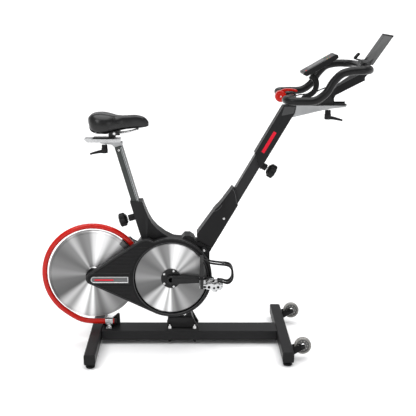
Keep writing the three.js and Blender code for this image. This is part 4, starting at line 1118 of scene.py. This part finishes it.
def crank_handle(name, body, node, hub, direction, top, height):
    """L-shaped clamp lever: capped hub below the slide and a tapered handle that drops away."""
    foot = top - height
    centre = at(hub.x, 0, foot)
    shells = [(revolve(centre, Z, [(10.5, 0), (13.4, 1.2), (14.5, 3.5), (14.5, height * 0.55),
        (13.2, height * 0.58), (13.2, height - 3), (11.5, height)], 48), PLASTIC),
        (revolve(centre + Z * height, Z, [(7, -0.5), (7, 0.6), (5, 1), (5, 8)], 28), POLISHED)]
    drop = [(6, 8), (24, 6), (46, 1), (63, -3.4)]
    path = spline([(hub.x + direction * x, 0, foot + z) for x, z in drop], 6)
    scales = [8.6 - 4.4 * i / (len(path) - 1) for i in range(len(path))]
    scales[-3:] = [4.6, 5.2, 5.4]
    shells.append((sweep(path, round_section(20), scales, Y, round_ends=3), PLASTIC))
    piece(name, body, shells, [node])


# ---- handlebar ----
def bar_line():
    """One side of the loop, from the middle of the rear bar to the middle of the front bar."""
    half, low, high, rear, middle, front = 222, 1148, 1273, 318, 360, 672
    return [(middle, 0, low - 4), (middle - 4, -50, low - 4), (rear + 16, -110, low - 2),
        (rear + 2, -160, low), (rear + 12, -204, low), (rear + 52, -half, low), (436, -half - 2, low + 4),
        (478, -half - 2, low + 33), (509, -half, low + 81), (544, -half, high - 11), (590, -half + 2, high),
        (634, -half + 10, high + 1), (662, -180, high), (front, -120, high), (front, -50, high),
        (front, 0, high)]


def bars():
    side = bar_line()
    loop = side + [(x, -y, z) for x, y, z in reversed(side[1:-1])]
    line = spline(loop, 9, closed=True)
    piece("handlebar_loop", "bars",
        [(sweep(line, round_section(32), 17, Z, closed=True), SOFT_BLACK)], ["handlebar"])
    stripe = fillet(strip(post_point, 13, 119, -8.5, 6), 3)
    cap = fillet([(317, 1063), (371, 1074), (378, 1103), (329, 1103)], 2)
    sleeve = [(prism(outline, *sorted((y, y * 1.012))), look) for outline,
        look in ((stripe, RED_STRIPE), (cap, CAP_GREY)) for y in (-32.9, 32.9)]
    from_cad("bar_post", BLACK_COAT, 4, extra=sleeve)
    from_cad("bar_head", CAST_GREY, 2.5)
    from_cad("bar_stem", BLACK_COAT, 2.5)
    pull_pin("bar_pin_knob", "bar_knob", "bar_pin", BAR_PIN, 24)
    crank_handle("bar_handle", "bar_lever", "bar_slide_handle", BAR_HANDLE, 1, 1085, 42)
    shifter()
    display()
    tray()


def shifter():
    """Gear shifter: a web clamped to the bar, and a red drum lever in two halves either side of it."""
    from_cad("shifter_body", PLASTIC, 2)
    arm = beside(LEVER, [(-10, 16), (-3, 23), (8, 30), (24, 34), (50, 33), (68, 29.5), (74, 25), (71, 19.5),
        (48, 23), (26, 23), (10, 16)])
    bridge = arc(LEVER.x, LEVER.z, 24.4, 86, 206, 16) + arc(LEVER.x, LEVER.z, 14.6, 206, 86, 16)
    shells = [(prism(fillet(arm, 5, 4), -10, 10), RED_GLOSS, 3), (prism(bridge, -19.6, 19.6), RED_GLOSS, 1)]
    for side in (-1, 1):
        drum = [(0.1, 0), (23, 0), (24.5, 1.4), (24.5, 8), (22, 10.3), (14.5, 10.9), (13.4, 10.1),
            (6, 10.1), (5, 10.7), (0.1, 10.7)]
        shells.append((revolve(LEVER + Y * side * 9.1, Y * side, drum, 72), RED_GLOSS))
        shells += bolt(LEVER + Y * side * 18.6, Y * side, 3.2, 1.4, MARKS["white"], sides=20)
    for i in range(9):
        angle = radians(120 + 15 * i)
        spot = LEVER + around(angle) * 23.6
        shells.append((revolve(spot - Y * 17, Y, [(1.5, 0), (1.5, 34)], 10), RED_GLOSS))
    piece("gear_lever_arm", "gear_lever", shells, ["shift_lever"], LEVER)


def display():
    """Console: a rounded slab tilted to the rider, with a window, status marks and a curved stalk."""
    spot, normal = tilted(at(403, 0, 1246), 29)
    section = [spot(0, -3), spot(5, 5), spot(160, 7), spot(168, 2), spot(166, -11), spot(150, -14),
        spot(60, -17), spot(10, -16)]
    shells = [(prism(fillet(section, [5, 5, 6, 4, 4, 10, 10, 6], 4), -64, 64), PLASTIC, 3),
        (prism([spot(9, 4.6), spot(156, 6.4), spot(156, 7.6), spot(9, 5.8)], -57, 57), FACE_GREY, 0.5),
        (prism([spot(34, 5.2), spot(112, 6.0), spot(112, 8.0), spot(34, 7.0)], -44, 44), SCREEN, 0.5)]
    for a, y, name in ((20, -46, "red"), (122, -44, "amber"), (129, -46, "green"), (136, -44, "red"),
        (122, 44, "green"), (136, 44, "amber")):
        base_point = at(spot(a, 0)[0], y, spot(a, 0)[1])
        shells.append((revolve(base_point + normal * 5.5, normal, [(3.2, 0), (3.2, 1.8), (2.4, 2.2)], 20),
            MARKS[name]))
    piece("display_case", "bars", shells, ["display"])
    neck = [(444, 1236), (458, 1226), (468, 1210), (470, 1190), (462, 1167), (441, 1150), (420, 1140),
        (410, 1124)]
    line = spline(level(neck), 7)
    scales = [15 - 3 * sin(pi * min(1, 1.6 * i / (len(line) - 1)) / 2) for i in range(len(line))]
    piece("display_neck", "bars", [(sweep(line, round_section(28), scales, Y), PLASTIC),
        (prism(fillet([spot(40, -18), spot(40, -14), spot(96, -14), spot(88, -22), spot(52, -24)], 3), -22,
        22), PLASTIC, 2)], ["display_stalk"])
    cable = [(384.5, 14, 1147), (400, 18, 1150), (430, 20, 1153), (466, 20, 1160), (496, 20, 1174),
        (524, 18, 1184), (543, 16, 1186)]
    clip = at(466, 20, 1160)
    piece("gear_cable_line", "bars",
        [(sweep(spline(cable, 8), round_section(14), 2.6, Y), RUBBER),
        (ring_of(clip, at(0.9, 0, 0.3).normalized(), [(2.6, -3), (4.4, -3), (4.4, 3), (2.6, 3)], 20),
        PLASTIC, 0.4)], ["gear_cable"])


def tray():
    spot, _ = tilted(at(693, 0, 1287), 56)
    # The groove is a thin strip of painted shade.
    groove = [spot(6, 5.6), spot(142, 5.6), spot(142, 6.25), spot(6, 6.25)]
    details = [(prism(groove, 38.2, 39.8), RECESS_SHADE),
        (prism([spot(8, 5.8), spot(10, 5.8), spot(10, 7.0), spot(8, 7.0)], -90, 90), TRAY_GREY)]
    lip = [(637, 1308), (656, 1330), (650, 1334.5), (644, 1330), (631, 1314), (630, 1307)]
    details.append((prism(fillet(lip, 3), -15, 15), RUBBER, 1))
    details.append((prism(fillet([spot(140, 6.3), spot(147, 6.3), spot(149, 3), spot(147, -0.3),
        spot(140, -0.3)], 1.5), -97.3, 97.3), RUBBER, 0.5))
    for y in (-60, 60):
        gusset = [spot(4, 5), spot(30, 6), spot(8, 14), (676, 1304)]
        details.append((prism(gusset, y - 2, y + 2), TRAY_GREY, 0.6))
    from_cad("device_tray", TRAY_GREY, 1.8, extra=details)


# ---- studio ----
def studio():
    """A pale floor out to the horizon under one broad overhead light, in a room that dims upwards."""
    world = bpy.data.worlds.new("studio")
    bpy.context.scene.world = world
    world.use_nodes = True
    graph = Graph(world.node_tree)
    height = graph.add("SeparateXYZ", {"Vector": graph.add("TexCoord", out="Generated")}, "Z")
    dim = (0.3, 0.3, 0.31)
    room = graph.ramp(height, [(0.0, grey(1)), (0.01, grey(1)), (0.06, grey(0.6)),
        (0.35, (0.55, 0.55, 0.56)), (0.6, dim), (1.0, dim)])
    graph.feed(graph.nodes["Background"], {"Color": room})
    reach = 4000
    corners = [(-reach, -reach, 0), (reach, -reach, 0), (reach, reach, 0), (-reach, reach, 0)]
    mesh = bpy.data.meshes.new("floor")
    mesh.from_pydata(corners, [], [(0, 1, 2, 3)])
    mesh.materials.append(surface("pale_floor", grey(0.9), 0.7, grain=30, bump=0.0, patches=2, spread=0.01,
        specular=0.1))
    placed("floor", mesh)
    sun = bpy.data.lights.new("overhead", "SUN")
    sun.energy = 3.6
    sun.angle = radians(75)
    placed("overhead", sun)
    softbox("key", (-2.2, -2.8, 3.0), (-0.1, 0, 0.7), 1.2, 30)
    softbox("fill", (2.8, -2.6, 2.0), (0, 0, 0.7), 1.4, 8)
    view = bpy.context.scene.view_settings
    view.view_transform = "Standard"
    view.look = "None"


def softbox(name, place, target, size, power):
    light = bpy.data.lights.new(name, "AREA")
    light.size = size
    light.energy = power
    lamp = placed(name, light)
    lamp.location = place
    lamp.rotation_euler = (Vector(target) - Vector(place)).to_track_quat("-Z", "Y").to_euler()


def camera():
    data = bpy.data.cameras.new("camera")
    data.sensor_width = 36
    data.lens = 75.05
    data.shift_x = 0.0495
    thing = placed("camera", data)
    thing.location = (-0.0955, -3.8252, 1.5614)
    thing.rotation_euler = (radians(90 - 13.55), 0, 0)
    bpy.context.scene.camera = thing


camera()
studio()
base()
frame_pieces()
discs()
cranks()
guard()
seat()
bars()
